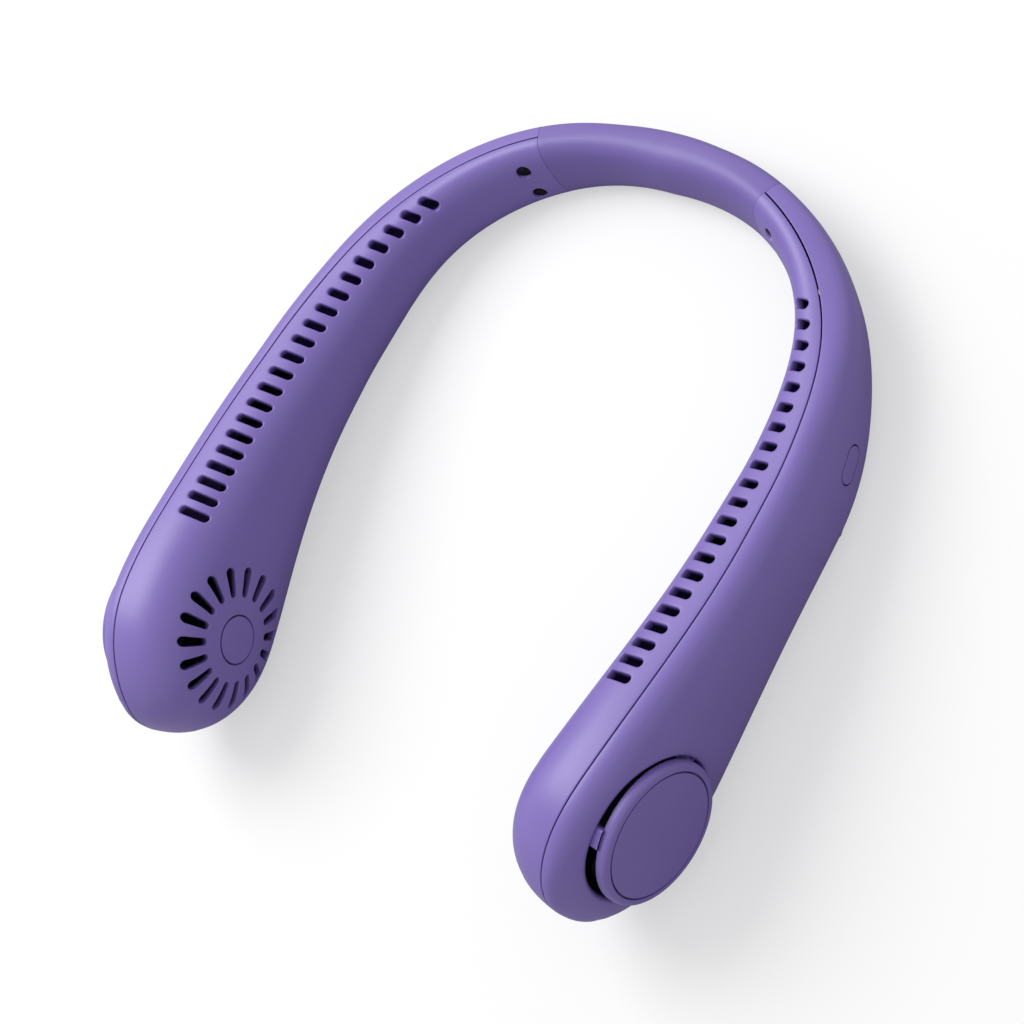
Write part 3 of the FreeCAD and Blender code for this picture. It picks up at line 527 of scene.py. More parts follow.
def seam_edge(total):
    """Room left along a seam for half its gap and the rounding, less where the section closes."""
    return np.minimum(SEAM_GAP + SEAM_ROUND, SEAM_SHARE * total)


def inner_rows(u):
    """Row distances from the top seam: a block for the slots, a strip, a block for the grille and
    the rest. On the head the blocks move towards the seams to leave room for the round grille."""
    total = girth(u, "inner")
    head = fade(u, GRILLE_U[0], HEAD_FROM)
    near = np.minimum(HEAD_EDGE, HEAD_SHARE * total)
    stops = [
        seam_edge(total),
        slot_end(u) * (1 - head) + HEAD_SLOTS * near * head,
        (slot_end(u) + STRIP_SHARE * total) * (1 - head) + near * head,
        LOW_SHARE * total * (1 - head) + (total - near) * head,
        total - seam_edge(total),
    ]
    return even_steps(stops, (SLOT_ROWS, STRIP_ROWS, GRILLE_ROWS, LOW_ROWS))


screw_span = (SCREW_AT - SCREW_BLOCK, SCREW_AT + SCREW_BLOCK)
band_end = even_steps((JOINT_AT + END_ROUND, *screw_span, borders[0]), BAND_END_COLUMNS)[:-1, 0]
slotted = np.interp(np.arange(SLOTS * SLOT_COLUMNS + 1) / SLOT_COLUMNS, np.arange(SLOTS + 1), borders)
nose_end = toward_tip(*NOSE_END)
inner_a = np.concatenate([band_end, slotted, np.linspace(*GRILLE_U, GRILLE_ROWS + 1), nose_end])
inner_v = inner_rows(inner_a)
inner_aa = np.broadcast_to(inner_a, inner_v.shape)
inner_uu = np.where(inner_aa < SLANT_ENDS[1], slide(inner_aa, inner_v), inner_aa)
inner_mask = np.ones((inner_v.shape[0] - 1, inner_v.shape[1] - 1), bool)
print("inner grid", inner_v.shape)

# %% [markdown]
# The two halves of an arm meet along a parting line on the crest. On the real part it is a fine dark
# line, because each moulding ends in a small rounding with a hair's gap between them. A drawn line
# would not catch the light, so both edges are made: the rounding, the cut face, and the inner face.

# %% Edges of a shell
EDGE_STEP = 0.05


def tip_fixed(u, normal):
    """Normals with the pole at the tip set to the direction of the spine, where the grid has none."""
    pole = np.broadcast_to((u >= SPINE - TINY)[..., None], normal.shape)
    return np.where(pole, spine(np.array(SPINE))[1], normal)


def rolled_edge(row, normal, ahead, radius):
    """Edge of a wall: a small quarter round off the skin, the cut face, and back to the inner face."""
    edge = lip(row, ahead, normal, radius)
    return np.concatenate([edge, edge[-1:] - normal * (WALL - radius), (row - normal * WALL)[None]])


def shell_edges(book, half, u, v):
    """Rolled edges along both seams and at the band end of a half shell."""
    for line, row, step in ((u[0], v[0], -EDGE_STEP), (u[-1], v[-1], EDGE_STEP)):
        points, normal = on_skin(line, row, half)
        ahead = unit(skin(line, row + step, half) - points)
        book.add(rolled_edge(points, tip_fixed(line, normal), ahead, SEAM_ROUND))
    points, normal = on_skin(u[:, 0], v[:, 0], half)
    book.add(rolled_edge(points, normal, -spine(u[:, 0])[1], END_ROUND))


inner = Patches()
shell_edges(inner, "inner", inner_uu, inner_v)
print("seam and end edges", inner.count, "points")

# %% [markdown]
# Outlet slots. The air that the fans blow along the arms leaves through them. They are pills, longer
# towards the head. Each outline is measured on the skin, in real millimetres, and then turned into
# grid parameters, because a pill drawn straight in the parameters would come out slanted.

# %% Outlet slots
SLOT_WIDTH, SLOT_LIP, SLOT_RINGS, WALK_POINTS = 3.1, 0.45, 5, 200
slot_column = nearest(inner_a, borders[:1])[0]


def slot_rings(k):
    """Rings of parameter points of one slot, from its block's border to its lip. The slot is a pill
    measured on the skin: its width across the grid lines, its length along the line in its middle."""
    columns, rows = (slot_column + k * SLOT_COLUMNS, slot_column + (k + 1) * SLOT_COLUMNS), (0, SLOT_ROWS)
    walk_v = np.linspace(0, slot_end(line_at[k]), WALK_POINTS)
    run = run_length(skin(slide(line_at[k], walk_v), walk_v, "inner"))
    edge, length = along_slots(slot_at[k], SLOT_EDGE), along_slots(slot_at[k], SLOT_LENGTH)
    ends = np.interp([edge, edge + length], walk_v, run)
    pill = round_box(columns, rows, SLOT_WIDTH / 2, (ends[1] - ends[0]) / 2, SLOT_WIDTH / 2)
    ahead_x, ahead_y = spine(np.array(line_at[k]))[1][:2]
    contour = np.stack([
        line_at[k] - pill[:, 0] / ahead_y,
        np.interp(ends.mean() + pill[:, 1] - pill[:, 0] * ahead_x / ahead_y, run, walk_v),
    ], -1)
    return between(take_block(inner_mask, inner_aa, inner_v, columns, rows), contour, SLOT_RINGS)


for k in range(SLOTS):
    a, v = np.moveaxis(slot_rings(k), -1, 0)
    cut_through(inner, *on_skin(slide(a, v), v, "inner"), SLOT_LIP)
print("slots", SLOTS)

# %% [markdown]
# Screw recesses. Two screws tie the band to each arm, and their heads lie sunk beside the joint. A
# recess is a round step: a wide hole part of the way in, a flat ring, and a narrow bore. Recess and bore
# run along the screw, not along the skin's normals, as a tool would cut them.

# %% Screw recesses
SCREW_TURNS, SCREW_RECESS, SCREW_BORE, SCREW_DEPTH = (167.0, 205.0), 2.0, 1.05, 1.4
SCREW_LIP, SCREW_RINGS, SCREW_SEARCH = 0.2, 4, 400
screw_columns = nearest(inner_a, screw_span)
screw_row = inner_v[:, sum(screw_columns) // 2]
search_v = np.linspace(0, girth(SCREW_AT, "inner"), SCREW_SEARCH)
search = skin(SCREW_AT, search_v, "inner")
into_arm = spine(np.array([SCREW_AT]))[2]
for turn in SCREW_TURNS:
    middle = oval(np.array([SCREW_AT]), turn)
    v = search_v[np.argmin(np.linalg.norm(search - middle, axis=-1))]
    rows = nearest(screw_row, (v - SCREW_BLOCK, v + SCREW_BLOCK))
    radius = SCREW_RECESS + SCREW_LIP
    contour = round_box(screw_columns, rows, radius, radius, radius) + [SCREW_AT, v]
    border = take_block(inner_mask, inner_uu, inner_v, screw_columns, rows)
    rings = between(border, contour, SCREW_RINGS)
    surface, normal = on_skin(rings[..., 0], rings[..., 1], "inner")
    inner.wall(surface, normal, closed=True)
    recess = hole_wall(surface[-1], np.broadcast_to(-into_arm, surface[-1].shape), SCREW_LIP, SCREW_DEPTH)
    bore = closing(recess[-1], [1 - SCREW_BORE / SCREW_RECESS])
    behind = surface[-1:] - normal[-1:] * WALL
    stepped = np.concatenate([recess, bore, bore + into_arm * (WALL - SCREW_DEPTH), behind])
    inner.add(stepped, closed=True)
    print("screw recess at", middle.round(2).tolist())

# %% [markdown]
# The grille is easier in round coordinates. The fan's frame has x up, y along the arm and z out,
# with its origin on the spine. A point of the face is found for given x and y by sliding along the
# spine and up the section until it lands there, a few steps at a time.

# %% Fan frame
FAN_AT, LANDING_STEPS, FACE_STEP = 202.5, 30, 0.05
FAN_POINT, FAN_ALONG, FAN_OUT = (a.reshape(3) for a in spine(np.array([FAN_AT])))


def fan_local(points):
    """Coordinates of points in the fan's frame: up, along and out."""
    offset = points - FAN_POINT
    return np.stack([offset @ UP, offset @ FAN_ALONG, offset @ FAN_OUT], -1)


def fan_world(x, y, z):
    """Points of the fan's frame in the collar's frame."""
    return FAN_POINT + x[..., None] * UP + y[..., None] * FAN_ALONG + z[..., None] * FAN_OUT


def fan_parameters(x, y, side):
    """Distance u and height p of the face point that lies at x and y in the fan's frame."""
    u, p = FAN_AT + y, x
    for _ in range(LANDING_STEPS):
        miss = fan_local(face(u, p, side))
        u, p = u + (y - miss[..., 1]), p + (x - miss[..., 0])
    return u, p


def on_face(u, p, side):
    """Skin point at distance u and height p, and the normal there: the cross product of two small steps."""
    du = face(u + FACE_STEP, p, side) - face(u - FACE_STEP, p, side)
    normal = unit(np.cross(du, face(u, p + FACE_STEP, side) - face(u, p - FACE_STEP, side)))
    return face(u, p, side), normal * np.sign(normal @ FAN_OUT)[..., None] * side


def round_cell(border, half, radius, side, rings):
    """Rings of skin points from the border of a block to a circle about the fan axis, with their
    normals. A quarter of the circle faces each side of the block."""
    rim, rim_normal = on_skin(border[:, 0], border[:, 1], half)
    local = fan_local(rim)
    start, second = np.arctan2(local[[0, 3], 1], local[[0, 3], 0])
    corner = math.radians(round((math.degrees(start) - 45) / 90) * 90 + 45)
    turn = corner + np.sign(math.sin(second - start)) * 2 * np.pi * np.arange(len(rim)) / len(rim)
    first = np.stack(fan_parameters(local[:, 0], local[:, 1], side), -1)
    last = np.stack(fan_parameters(radius * np.cos(turn), radius * np.sin(turn), side), -1)
    u, p = np.moveaxis(between(first, last, rings, power=1.0), -1, 0)
    points, normal = on_face(u, p, side)
    points[0], normal[0] = rim, rim_normal
    return points, normal


print("fan axis", FAN_OUT.round(4).tolist())

# %% [markdown]
# Radial grille. Air enters the head through eighteen tapered slots round a small disc. A ring of skin
# first turns the square block of the grid into a circle. The circle is then shared out in sectors with
# one slot each, so the same few lines make them all and the bars between them stay even.

# %% Sector of the grille
GRILLES, GRILLE_NEAR, GRILLE_FAR, GRILLE_RIM, GRILLE_HUB = 18, 10.9, 18.6, 20.2, 9.8
GRILLE_NARROW, GRILLE_WIDE, GRILLE_LIP = 1.9, 2.7, 0.3
ARC_STEPS, SPOKE_STEPS = 8, 12


def sector(middle):
    """Border of one sector of the grille, and the tapered slot that its four sides face, about a turn."""
    half = np.pi / GRILLES
    arc, spoke = np.arange(ARC_STEPS) / ARC_STEPS, np.arange(SPOKE_STEPS) / SPOKE_STEPS
    far, near = GRILLE_RIM, GRILLE_HUB
    inward = far + (near - far) * spoke
    radius = np.concatenate([arc * 0 + far, inward, arc * 0 + near, near + (far - near) * spoke])
    turn = half * np.concatenate([2 * arc - 1, spoke * 0 + 1, 1 - 2 * arc, spoke * 0 - 1])
    wide, narrow = GRILLE_WIDE / 2 + GRILLE_LIP, GRILLE_NARROW / 2 + GRILLE_LIP
    top, bottom = GRILLE_FAR - GRILLE_WIDE / 2, GRILLE_NEAR + GRILLE_NARROW / 2
    bow = np.pi * (arc - 0.5)
    reach = np.concatenate([
        top + wide * np.cos(bow),
        top + (bottom - top) * spoke,
        bottom - narrow * np.cos(bow),
        bottom + (top - bottom) * spoke,
    ])
    aside = np.concatenate([
        wide * np.sin(bow),
        wide + (narrow - wide) * spoke,
        -narrow * np.sin(bow),
        -narrow + (narrow - wide) * spoke,
    ])
    border = np.stack([radius * np.cos(middle + turn), radius * np.sin(middle + turn)], -1)
    c, s = math.cos(middle), math.sin(middle)
    return border, np.stack([reach * c - aside * s, reach * s + aside * c], -1)


print("points round a sector", len(sector(0.0)[0]))

# %% Radial grille
COLLAR_RINGS, GRILLE_RINGS, HUB_RINGS = 8, 5, 6
DISC_RADIUS, DISC_GAP, DISC_DEPTH, DISC_LIP = 6.05, 0.45, 1.0, 0.12
grille_turns = np.pi / GRILLES * (2 * np.arange(GRILLES * ARC_STEPS) / ARC_STEPS - 1)


def inner_face(x, y):
    """Points of the inner face that lie at x and y in the fan's frame, with their normals."""
    return on_face(*fan_parameters(x, y, -1), -1)


def inner_circles(radii):
    """Circles of the inner face about the fan axis, one for each radius, with their normals."""
    return inner_face(radii[:, None] * np.cos(grille_turns), radii[:, None] * np.sin(grille_turns))


grille_block = (SLOT_ROWS + STRIP_ROWS, SLOT_ROWS + STRIP_ROWS + GRILLE_ROWS)
border = take_block(inner_mask, inner_uu, inner_v, nearest(inner_a, GRILLE_U), grille_block)
inner.wall(*round_cell(border, "inner", GRILLE_RIM, -1, COLLAR_RINGS), closed=True)
for k in range(GRILLES):
    x, y = np.moveaxis(between(*sector(2 * np.pi * k / GRILLES), GRILLE_RINGS), -1, 0)
    cut_through(inner, *inner_face(x, y), GRILLE_LIP)
hub, hub_normal = inner_circles(np.linspace(GRILLE_HUB, DISC_RADIUS + DISC_GAP + DISC_LIP, HUB_RINGS))
inner.wall(hub, hub_normal, closed=True)
seat = hole_wall(hub[-1], hub_normal[-1], DISC_LIP, DISC_DEPTH)
inner.add(np.concatenate([seat, closing(seat[-1])]), closed=True)
inner.add(closing(hub[-1] - hub_normal[-1] * WALL, (0.0, 0.5, 1.0)), closed=True)
print("grille slots", GRILLES)

# %% [markdown]
# The rest of the inner shell is the plain grid without the blocks that were given away. One book makes
# both arms. Each piece hides the CAD node it stands for and rides on a body, so it moves with that body
# at every pose.

# %% Both inner shells
SIDES = ("right", "left")
pieces = {}


def seat_piece(piece, nodes, body):
    """Hand a finished piece to the frame: hide the nodes it stands for and put it on the body it rides on."""
    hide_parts(*nodes)
    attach(piece, body)
    pieces[piece.name] = piece
    print(piece.name, len(piece.data.polygons), "faces")


def arm_piece(book, side, name, node):
    """Build a book as a piece of one arm, mirrored for the left arm, and hand it to the frame."""
    piece = book.build(f"{side}_{name}", mirrored=side == "left")
    seat_piece(piece, [f"{side}_{node}"], f"{side}_arm")


surface, normal = on_skin(inner_uu, inner_v, "inner")
inner.wall(surface, tip_fixed(inner_uu, normal), keep=inner_mask)
for side in SIDES:
    arm_piece(inner, side, "inner_moulding", "inner_shell")

# %% [markdown]
# The outer shell is smooth but for the round intake opening. The right one also has the button hole
# and, underneath, the charging port. It is drawn in the same way, with a block of its grid given up
# to each opening.

# %% Outer shell grid
INTAKE_U, INTAKE_COLUMNS, INTAKE_SHARE, INTAKE_STRIP, OUTER_EDGE_ROWS = (180.0, 225.5), 32, 0.085, 0.02, 6
BUTTON_U, PORT_U = (101.5, 115.5), (115.5, 125.5)
OUTER_COLUMNS = (33, 16, 12, 23, INTAKE_COLUMNS)


def outer_rows(u):
    """Row distances from the top seam, with a block in the middle for the intake opening."""
    total = girth(u, "outer")
    edge = seam_edge(total)
    near = np.maximum(INTAKE_SHARE * total, edge + INTAKE_STRIP * total)
    stops = [edge, near, total - near, total - edge]
    return even_steps(stops, (OUTER_EDGE_ROWS, INTAKE_COLUMNS, OUTER_EDGE_ROWS))


outer_stops = (JOINT_AT + END_ROUND, *BUTTON_U, PORT_U[1], *INTAKE_U)
outer_u = np.concatenate([even_steps(outer_stops, OUTER_COLUMNS)[:, 0], nose_end])
outer_v = outer_rows(outer_u)
outer_uu = np.broadcast_to(outer_u, outer_v.shape)
print("outer grid", outer_v.shape)

# %% [markdown]
# The intake opening is a circle about the fan axis with a soft lip. The button hole is a pill on the
# flat of the arm, so it is drawn in distance along the spine and height up the section. The port is a
# pill low on the arm, drawn in the grid's own parameters. Each way keeps its outline nearly true on
# the skin, where one way for all three would stretch two of them.

# %% Intake opening
INTAKE_RADIUS, INTAKE_LIP, INTAKE_RINGS, INTAKE_STEPS = 18.8, 1.0, 7, 7


def cut_intake(book, mask):
    """Round intake opening with a soft lip."""
    rows = (OUTER_EDGE_ROWS, OUTER_EDGE_ROWS + INTAKE_COLUMNS)
    border = take_block(mask, outer_uu, outer_v, nearest(outer_u, INTAKE_U), rows)
    rings, normal = round_cell(border, "outer", INTAKE_RADIUS + INTAKE_LIP, 1, INTAKE_RINGS)
    cut_through(book, rings, normal, INTAKE_LIP, INTAKE_STEPS)


print("intake radius", INTAKE_RADIUS)

# %% Button hole and port
BUTTON_AT, BUTTON_DROP, BUTTON_LENGTH, BUTTON_WIDTH = 108.5, 2.2, 9.0, 5.0
BUTTON_GAP, BUTTON_LIP, BUTTON_RINGS, BUTTON_BLOCK = 0.36, 0.12, 6, (3.6, -4.4)
PORT_AT, PORT_LENGTH, PORT_WIDTH, PORT_BLOCK, PORT_EDGE, PORT_RINGS = 119.5, 9.2, 3.5, 5.6, 0.2, 5


def section_heights(u, v):
    """Heights up the section of points of the outer skin: their offsets from the spine along its up."""
    point, up, _ = section_axes(u)
    return np.sum((skin(u, v, "outer") - point) * up, -1)


def cut_button_hole(book, mask):
    """Pill-shaped hole on the flat of the arm, in distance along the spine and height up the section."""
    columns = nearest(outer_u, BUTTON_U)
    middle = sum(columns) // 2
    heights = section_heights(outer_uu[:, middle], outer_v[:, middle])
    rows = nearest(heights, np.array(BUTTON_BLOCK) - BUTTON_DROP)
    u, v = take_block(mask, outer_uu, outer_v, columns, rows).T
    grow = BUTTON_GAP + BUTTON_LIP
    half_width = BUTTON_WIDTH / 2 + grow
    pill = round_box(columns, rows, BUTTON_LENGTH / 2 + grow, half_width, half_width)
    raised = np.stack([u, section_heights(u, v)], -1)
    rings = between(raised, pill * [1, -1] + [BUTTON_AT, -BUTTON_DROP], BUTTON_RINGS)
    surface, normal = on_face(rings[..., 0], rings[..., 1], 1)
    surface[0] = skin(u, v, "outer")
    cut_through(book, surface, normal, BUTTON_LIP)


def cut_port(book, mask):
    """Pill-shaped charging port low on the arm, facing down, close to the seam."""
    columns = nearest(outer_u, PORT_U)
    row_v = outer_v[:, sum(columns) // 2]
    rows = nearest(row_v, (row_v[-1] - PORT_BLOCK, row_v[-1]))
    half_width = PORT_WIDTH / 2 + BUTTON_LIP
    pill = round_box(columns, rows, PORT_LENGTH / 2 + BUTTON_LIP, half_width, half_width)
    border = take_block(mask, outer_uu, outer_v, columns, rows)
    rings = between(border, pill + [PORT_AT, row_v[-1] - half_width - PORT_EDGE], PORT_RINGS)
    cut_through(book, *on_skin(rings[..., 0], rings[..., 1], "outer"), BUTTON_LIP)


print("button hole at", BUTTON_AT, "port at", PORT_AT)

# %% Both outer shells
outer_skin, outer_normal = on_skin(outer_uu, outer_v, "outer")
for side in SIDES:
    outer = Patches()
    shell_edges(outer, "outer", outer_uu, outer_v)
    mask = np.ones((outer_v.shape[0] - 1, outer_v.shape[1] - 1), bool)
    cut_intake(outer, mask)
    if side == "right":
        cut_button_hole(outer, mask)
        cut_port(outer, mask)
    outer.wall(outer_skin, tip_fixed(outer_uu, outer_normal), keep=mask)
    arm_piece(outer, side, "outer_moulding", "outer_shell")

# %% [markdown]
# Intake cap. On the real fan it is a shallow dish with a rounded rim, held clear of the shell by
# three short posts so that air is drawn in all round it. It is a turned shape: an outline of radius
# against height, with an arc in each corner, spun about the fan axis. The disc set into it is turned too.

# %% Turned shapes
CORNER_STEPS, TURN_STEPS = 6, 128


def soft_outline(corners):
    """Outline through corners of radius, height and rounding. A rounded corner becomes an arc that
    touches both of its sides: points turned evenly about the arc's centre."""
    points = np.array(corners)[:, :2]
    parts = [points[:1]]
    for before, corner, after, rounding in zip(points, points[1:], points[2:], [c[2] for c in corners[1:-1]]):
        a, b = unit(before - corner), unit(after - corner)
        half = math.acos(float(a @ b)) / 2
        centre = corner + unit(a + b) * rounding / math.sin(half)
        first = corner + a * rounding / math.tan(half) - centre
        last = corner + b * rounding / math.tan(half) - centre
        t = np.linspace(0, 1, CORNER_STEPS)[:, None]
        sweep = math.pi - 2 * half
        parts.append(centre + (first * np.sin((1 - t) * sweep) + last * np.sin(t * sweep)) / math.sin(sweep))
    return np.concatenate(parts + [points[-1:]])


def turned(outline):
    """Grid of an outline of radius and height spun about the fan axis."""
    turn = 2 * np.pi * np.arange(TURN_STEPS) / TURN_STEPS
    radius, height = outline[:, :1], outline[:, 1:]
    return fan_world(radius * np.cos(turn), radius * np.sin(turn), height + 0 * turn)


print("steps in a turn", TURN_STEPS)

# %% Outlines of the cap and its disc
CAP_SUNK, CAP_RADIUS, CAP_THICKNESS, CAP_ROUND, CAP_UNDER = 1.15, 18.1, 3.05, 1.5, 0.5
INLAY_RADIUS, INLAY_SEAT, INLAY_GAP, GROOVE_ROUND, SEAT_ROUND = 15.7, 1.75, 0.45, 0.12, 0.05
INLAY_CLEAR, INLAY_FLAT, INLAY_CROWN = 0.02, 0.9, 0.01
cap_base = float(section(np.array(FAN_AT), "outer")) - CAP_SUNK
cap_top = cap_base + CAP_THICKNESS
seat_height, seat_radius = cap_base + INLAY_SEAT, INLAY_RADIUS + INLAY_GAP
cap_outline = soft_outline([
    (0, cap_base, 0),
    (CAP_RADIUS, cap_base, CAP_UNDER),
    (CAP_RADIUS, cap_top, CAP_ROUND),
    (seat_radius, cap_top, GROOVE_ROUND),
    (seat_radius, seat_height, SEAT_ROUND),
    (0, seat_height, 0),
])
inlay_outline = soft_outline([
    (0, seat_height + INLAY_CLEAR, 0),
    (INLAY_RADIUS, seat_height + INLAY_CLEAR, SEAT_ROUND),
    (INLAY_RADIUS, cap_top, GROOVE_ROUND),
    (INLAY_RADIUS * INLAY_FLAT, cap_top, INLAY_CROWN),
    (0, cap_top + INLAY_CROWN, 0),
])
print("cap from", round(cap_base, 2), "to", round(cap_top, 2), "out from the spine")

# %% Caps and their discs
POSTS, POST_TURN, POST_IN, POST_OUT, POST_WIDTH, POST_REACH = 3, 22.5, 16.25, 18.85, 5.0, 4.0
POST_POINTS, POST_SQUARENESS, POST_ROOT, POST_FOOT, POST_TAPER = 32, 0.35, 0.6, 0.2, 0.9


def post(turn):
    """Rounded post under the cap: a squarish oval carried down the fan axis and closed at its foot."""
    angle = 2 * np.pi * np.arange(POST_POINTS) / POST_POINTS
    c, s = np.cos(angle), np.sin(angle)
    heights = np.array([POST_ROOT, POST_FOOT - POST_REACH, -POST_REACH, -POST_REACH])[:, None]
    shrink = np.array([1.0, 1.0, POST_TAPER, 0.0])[:, None]
    outwards = (POST_OUT - POST_IN) / 2 * np.sign(c) * np.abs(c) ** POST_SQUARENESS
    radial = (POST_OUT + POST_IN) / 2 + outwards * shrink
    aside = POST_WIDTH / 2 * np.sign(s) * np.abs(s) ** POST_SQUARENESS * shrink
    x = radial * np.cos(turn) - aside * np.sin(turn)
    y = radial * np.sin(turn) + aside * np.cos(turn)
    return fan_world(x, y, cap_base + heights + 0 * x)


post_turns = np.radians(POST_TURN + 360 / POSTS * np.arange(POSTS))
cap = Patches(turned(cap_outline), *(post(turn) for turn in post_turns))
inlay = Patches(turned(inlay_outline))
for side in SIDES:
    arm_piece(cap, side, "cap_dish", "intake_cap")
    arm_piece(inlay, side, "cap_inlay", "cap_disc")

# %% [markdown]
# The small disc in the middle of the grille lies flush with the curved skin round it, so its top is
# a patch of that skin. Rings of the patch run out to the disc's edge, over a tiny rounding and down.

# %% Grille discs
DISC_RINGS, DISC_CLEAR = 8, 0.2
top, top_normal = inner_circles(np.linspace(0, DISC_RADIUS - DISC_LIP, DISC_RINGS))
rim = lip(top[-1], unit(top[-1] - top[-1].mean(axis=0)), top_normal[-1], DISC_LIP)
under = rim[-1] - top_normal[-1] * (DISC_DEPTH - DISC_CLEAR)
disc = Patches(top, np.concatenate([rim, closing(under, (0.0, 0.5, 1.0))]))
for side in SIDES:
    arm_piece(disc, side, "grille_inlay", "grille_disc")

# %% [markdown]
# Power button. It is a pill that lies flush in its hole and travels half a millimetre. Its top is a
# patch of the arm's own skin, so it follows the curve of the arm, with a flange below that keeps it in.

# %% Power button
BUTTON_EDGE, BUTTON_FLANGE, FLANGE_THICKNESS = 0.16, 0.8, 0.8
PILL_COLUMNS, PILL_ROWS, PILL_RINGS = 16, 12, 9
pill_half = BUTTON_WIDTH / 2 - BUTTON_EDGE
pill = round_box((0, PILL_COLUMNS), (0, PILL_ROWS), BUTTON_LENGTH / 2 - BUTTON_EDGE, pill_half, pill_half)
shares = np.linspace(0, 1, PILL_RINGS)[:, None]
top, top_normal = on_face(BUTTON_AT + shares * pill[:, 0], -BUTTON_DROP + shares * pill[:, 1], 1)
button_out = spine(np.array([BUTTON_AT]))[2]
spread = unit(top[-1] - top[0])
rim = lip(top[-1], spread, top_normal[-1], BUTTON_EDGE)
flange_top = rim[-1:] - button_out * (WALL + BUTTON_GAP - BUTTON_EDGE)
flange_out = flange_top + spread * BUTTON_FLANGE
flange_low = flange_out - button_out * FLANGE_THICKNESS
flange_end = closing(flange_low[0], [1.0])
button = Patches(top, np.concatenate([rim, flange_top, flange_out, flange_low, flange_end]))
seat_piece(button.build("button_cap"), ["power_button"], "button")

# %% [markdown]
# The band behind the neck is a soft sleeve that bends when the arms are opened. The sleeve is made as
# two halves that meet at the nape, one towards each arm. A very short first step at the nape keeps the
# shading of both halves the same where they meet. The spring strip and the wire loom inside are made as
# halves in the same way.

# %% Half of the band
BAND_STEP, BAND_END, BAND_ROUND, BAND_BORE = 0.04, 35.96, 0.06, 2.4
BAND_FIRST, BAND_RINGS, BAND_POINTS = 0.05, 30, 96
band_u = np.concatenate([[0.0, BAND_FIRST], np.linspace(0, BAND_END - BAND_ROUND, BAND_RINGS)[1:]])
band_turn = 360 * np.arange(BAND_POINTS) / BAND_POINTS


def sleeve():
    """Half of the band: the outer oval from the nape to the arm, a rounded end, and the bore back again."""
    skin_rows = oval(band_u[:, None], band_turn[None], BAND_STEP)
    centre, along, _ = spine(np.full(BAND_POINTS, band_u[-1]))
    edge = lip(skin_rows[-1], along, unit(skin_rows[-1] - centre), BAND_ROUND)[1:]
    bore = oval(band_u[::-1, None], band_turn[None], BAND_BORE)
    bore[0] += along * BAND_ROUND
    return np.concatenate([skin_rows, edge, bore])


print("rings along half the band", len(band_u))

# %% Halves of the strip and the loom
STRIP_END, STRIP_HALF_HEIGHT, STRIP_HALF_THICKNESS, STRIP_ROUND = 41.0, 4.0, 0.4, 0.15
LOOM_END, LOOM_RADIUS, LOOM_DROP, LOOM_POINTS = 49.0, 1.1, 5.8, 20
NAPE_Z, NAPE_RINGS = 9.1, 40


def along_nape(outline, end):
    """A small outline of offsets out and up, carried along the nape arc and closed at its far end."""
    u = np.linspace(0, end, NAPE_RINGS)[:, None]
    point, _, out = spine(u + 0 * outline[:, 0])
    point[..., 2] = NAPE_Z + LOOM_RADIUS
    rows = point + out * outline[:, :1] + UP * outline[:, 1:]
    return np.concatenate([rows, closing(rows[-1], [1.0])])


strip_corners = [
    (x * STRIP_HALF_THICKNESS, y * STRIP_HALF_HEIGHT, STRIP_ROUND)
    for x, y in ((1, 1), (1, -1), (-1, -1), (-1, 1))
]
strip_top = (0, STRIP_HALF_HEIGHT, 0)
strip = soft_outline([strip_top, *strip_corners, strip_top])[:-1]
loom_turn = 2 * np.pi * np.arange(LOOM_POINTS) / LOOM_POINTS
loom = np.stack([LOOM_RADIUS * np.cos(loom_turn), LOOM_RADIUS * np.sin(loom_turn) - LOOM_DROP], -1)
print("points round the strip", len(strip), "and the loom", len(loom))

# %% Band, strip and loom
bend_from = spine(np.array([0.0]))[0][0] * MM
bend_to = spine(np.array([JOINT_AT]))[0][0] * MM
for side in SIDES:
    for node, grid, slot in (
        ("neck_band", sleeve(), "band"),
        ("spring_strip", along_nape(strip, STRIP_END), "steel"),
        ("wire_loom", along_nape(loom, LOOM_END), "wire"),
    ):
        piece = Patches(grid).build(f"{node}_{side}_half", mirrored=side == "left")
        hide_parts(node)
        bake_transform(piece)
        pieces[piece.name] = piece
        print(piece.name, len(piece.data.polygons), "faces")

# %% [markdown]
# Finishes. The mouldings are satin plastic, coloured right through. Up close such plastic has a fine
# spark-eroded grain and a faint cloudiness in its colour and its shine. Both come from noise at a
# real scale in object coordinates, in one node group that every finish here shares.

# %% Moulded grain group
def moulded_grain():
    """Node group: fine grain for bump, and a broad cloudiness for tone and shine."""
    group = bpy.data.node_groups.new("moulded_grain", "ShaderNodeTree")
    group.interface.new_socket("Grain Scale", in_out="INPUT", socket_type="NodeSocketFloat")
    group.interface.new_socket("Cloud Scale", in_out="INPUT", socket_type="NodeSocketFloat")
    group.interface.new_socket("Height", in_out="OUTPUT", socket_type="NodeSocketFloat")
    group.interface.new_socket("Cloud", in_out="OUTPUT", socket_type="NodeSocketFloat")
    given = group.nodes.new("NodeGroupInput")
    result = group.nodes.new("NodeGroupOutput")
    place = group.nodes.new("ShaderNodeTexCoord")
    for socket, output, detail in (("Grain Scale", "Height", 2.0), ("Cloud Scale", "Cloud", 4.0)):
        noise = group.nodes.new("ShaderNodeTexNoise")
        noise.inputs["Detail"].default_value = detail
        group.links.new(place.outputs["Object"], noise.inputs["Vector"])
        group.links.new(given.outputs[socket], noise.inputs["Scale"])
        group.links.new(noise.outputs["Fac"], result.inputs[output])
    return group


GRAIN = moulded_grain()
print("group", GRAIN.name)

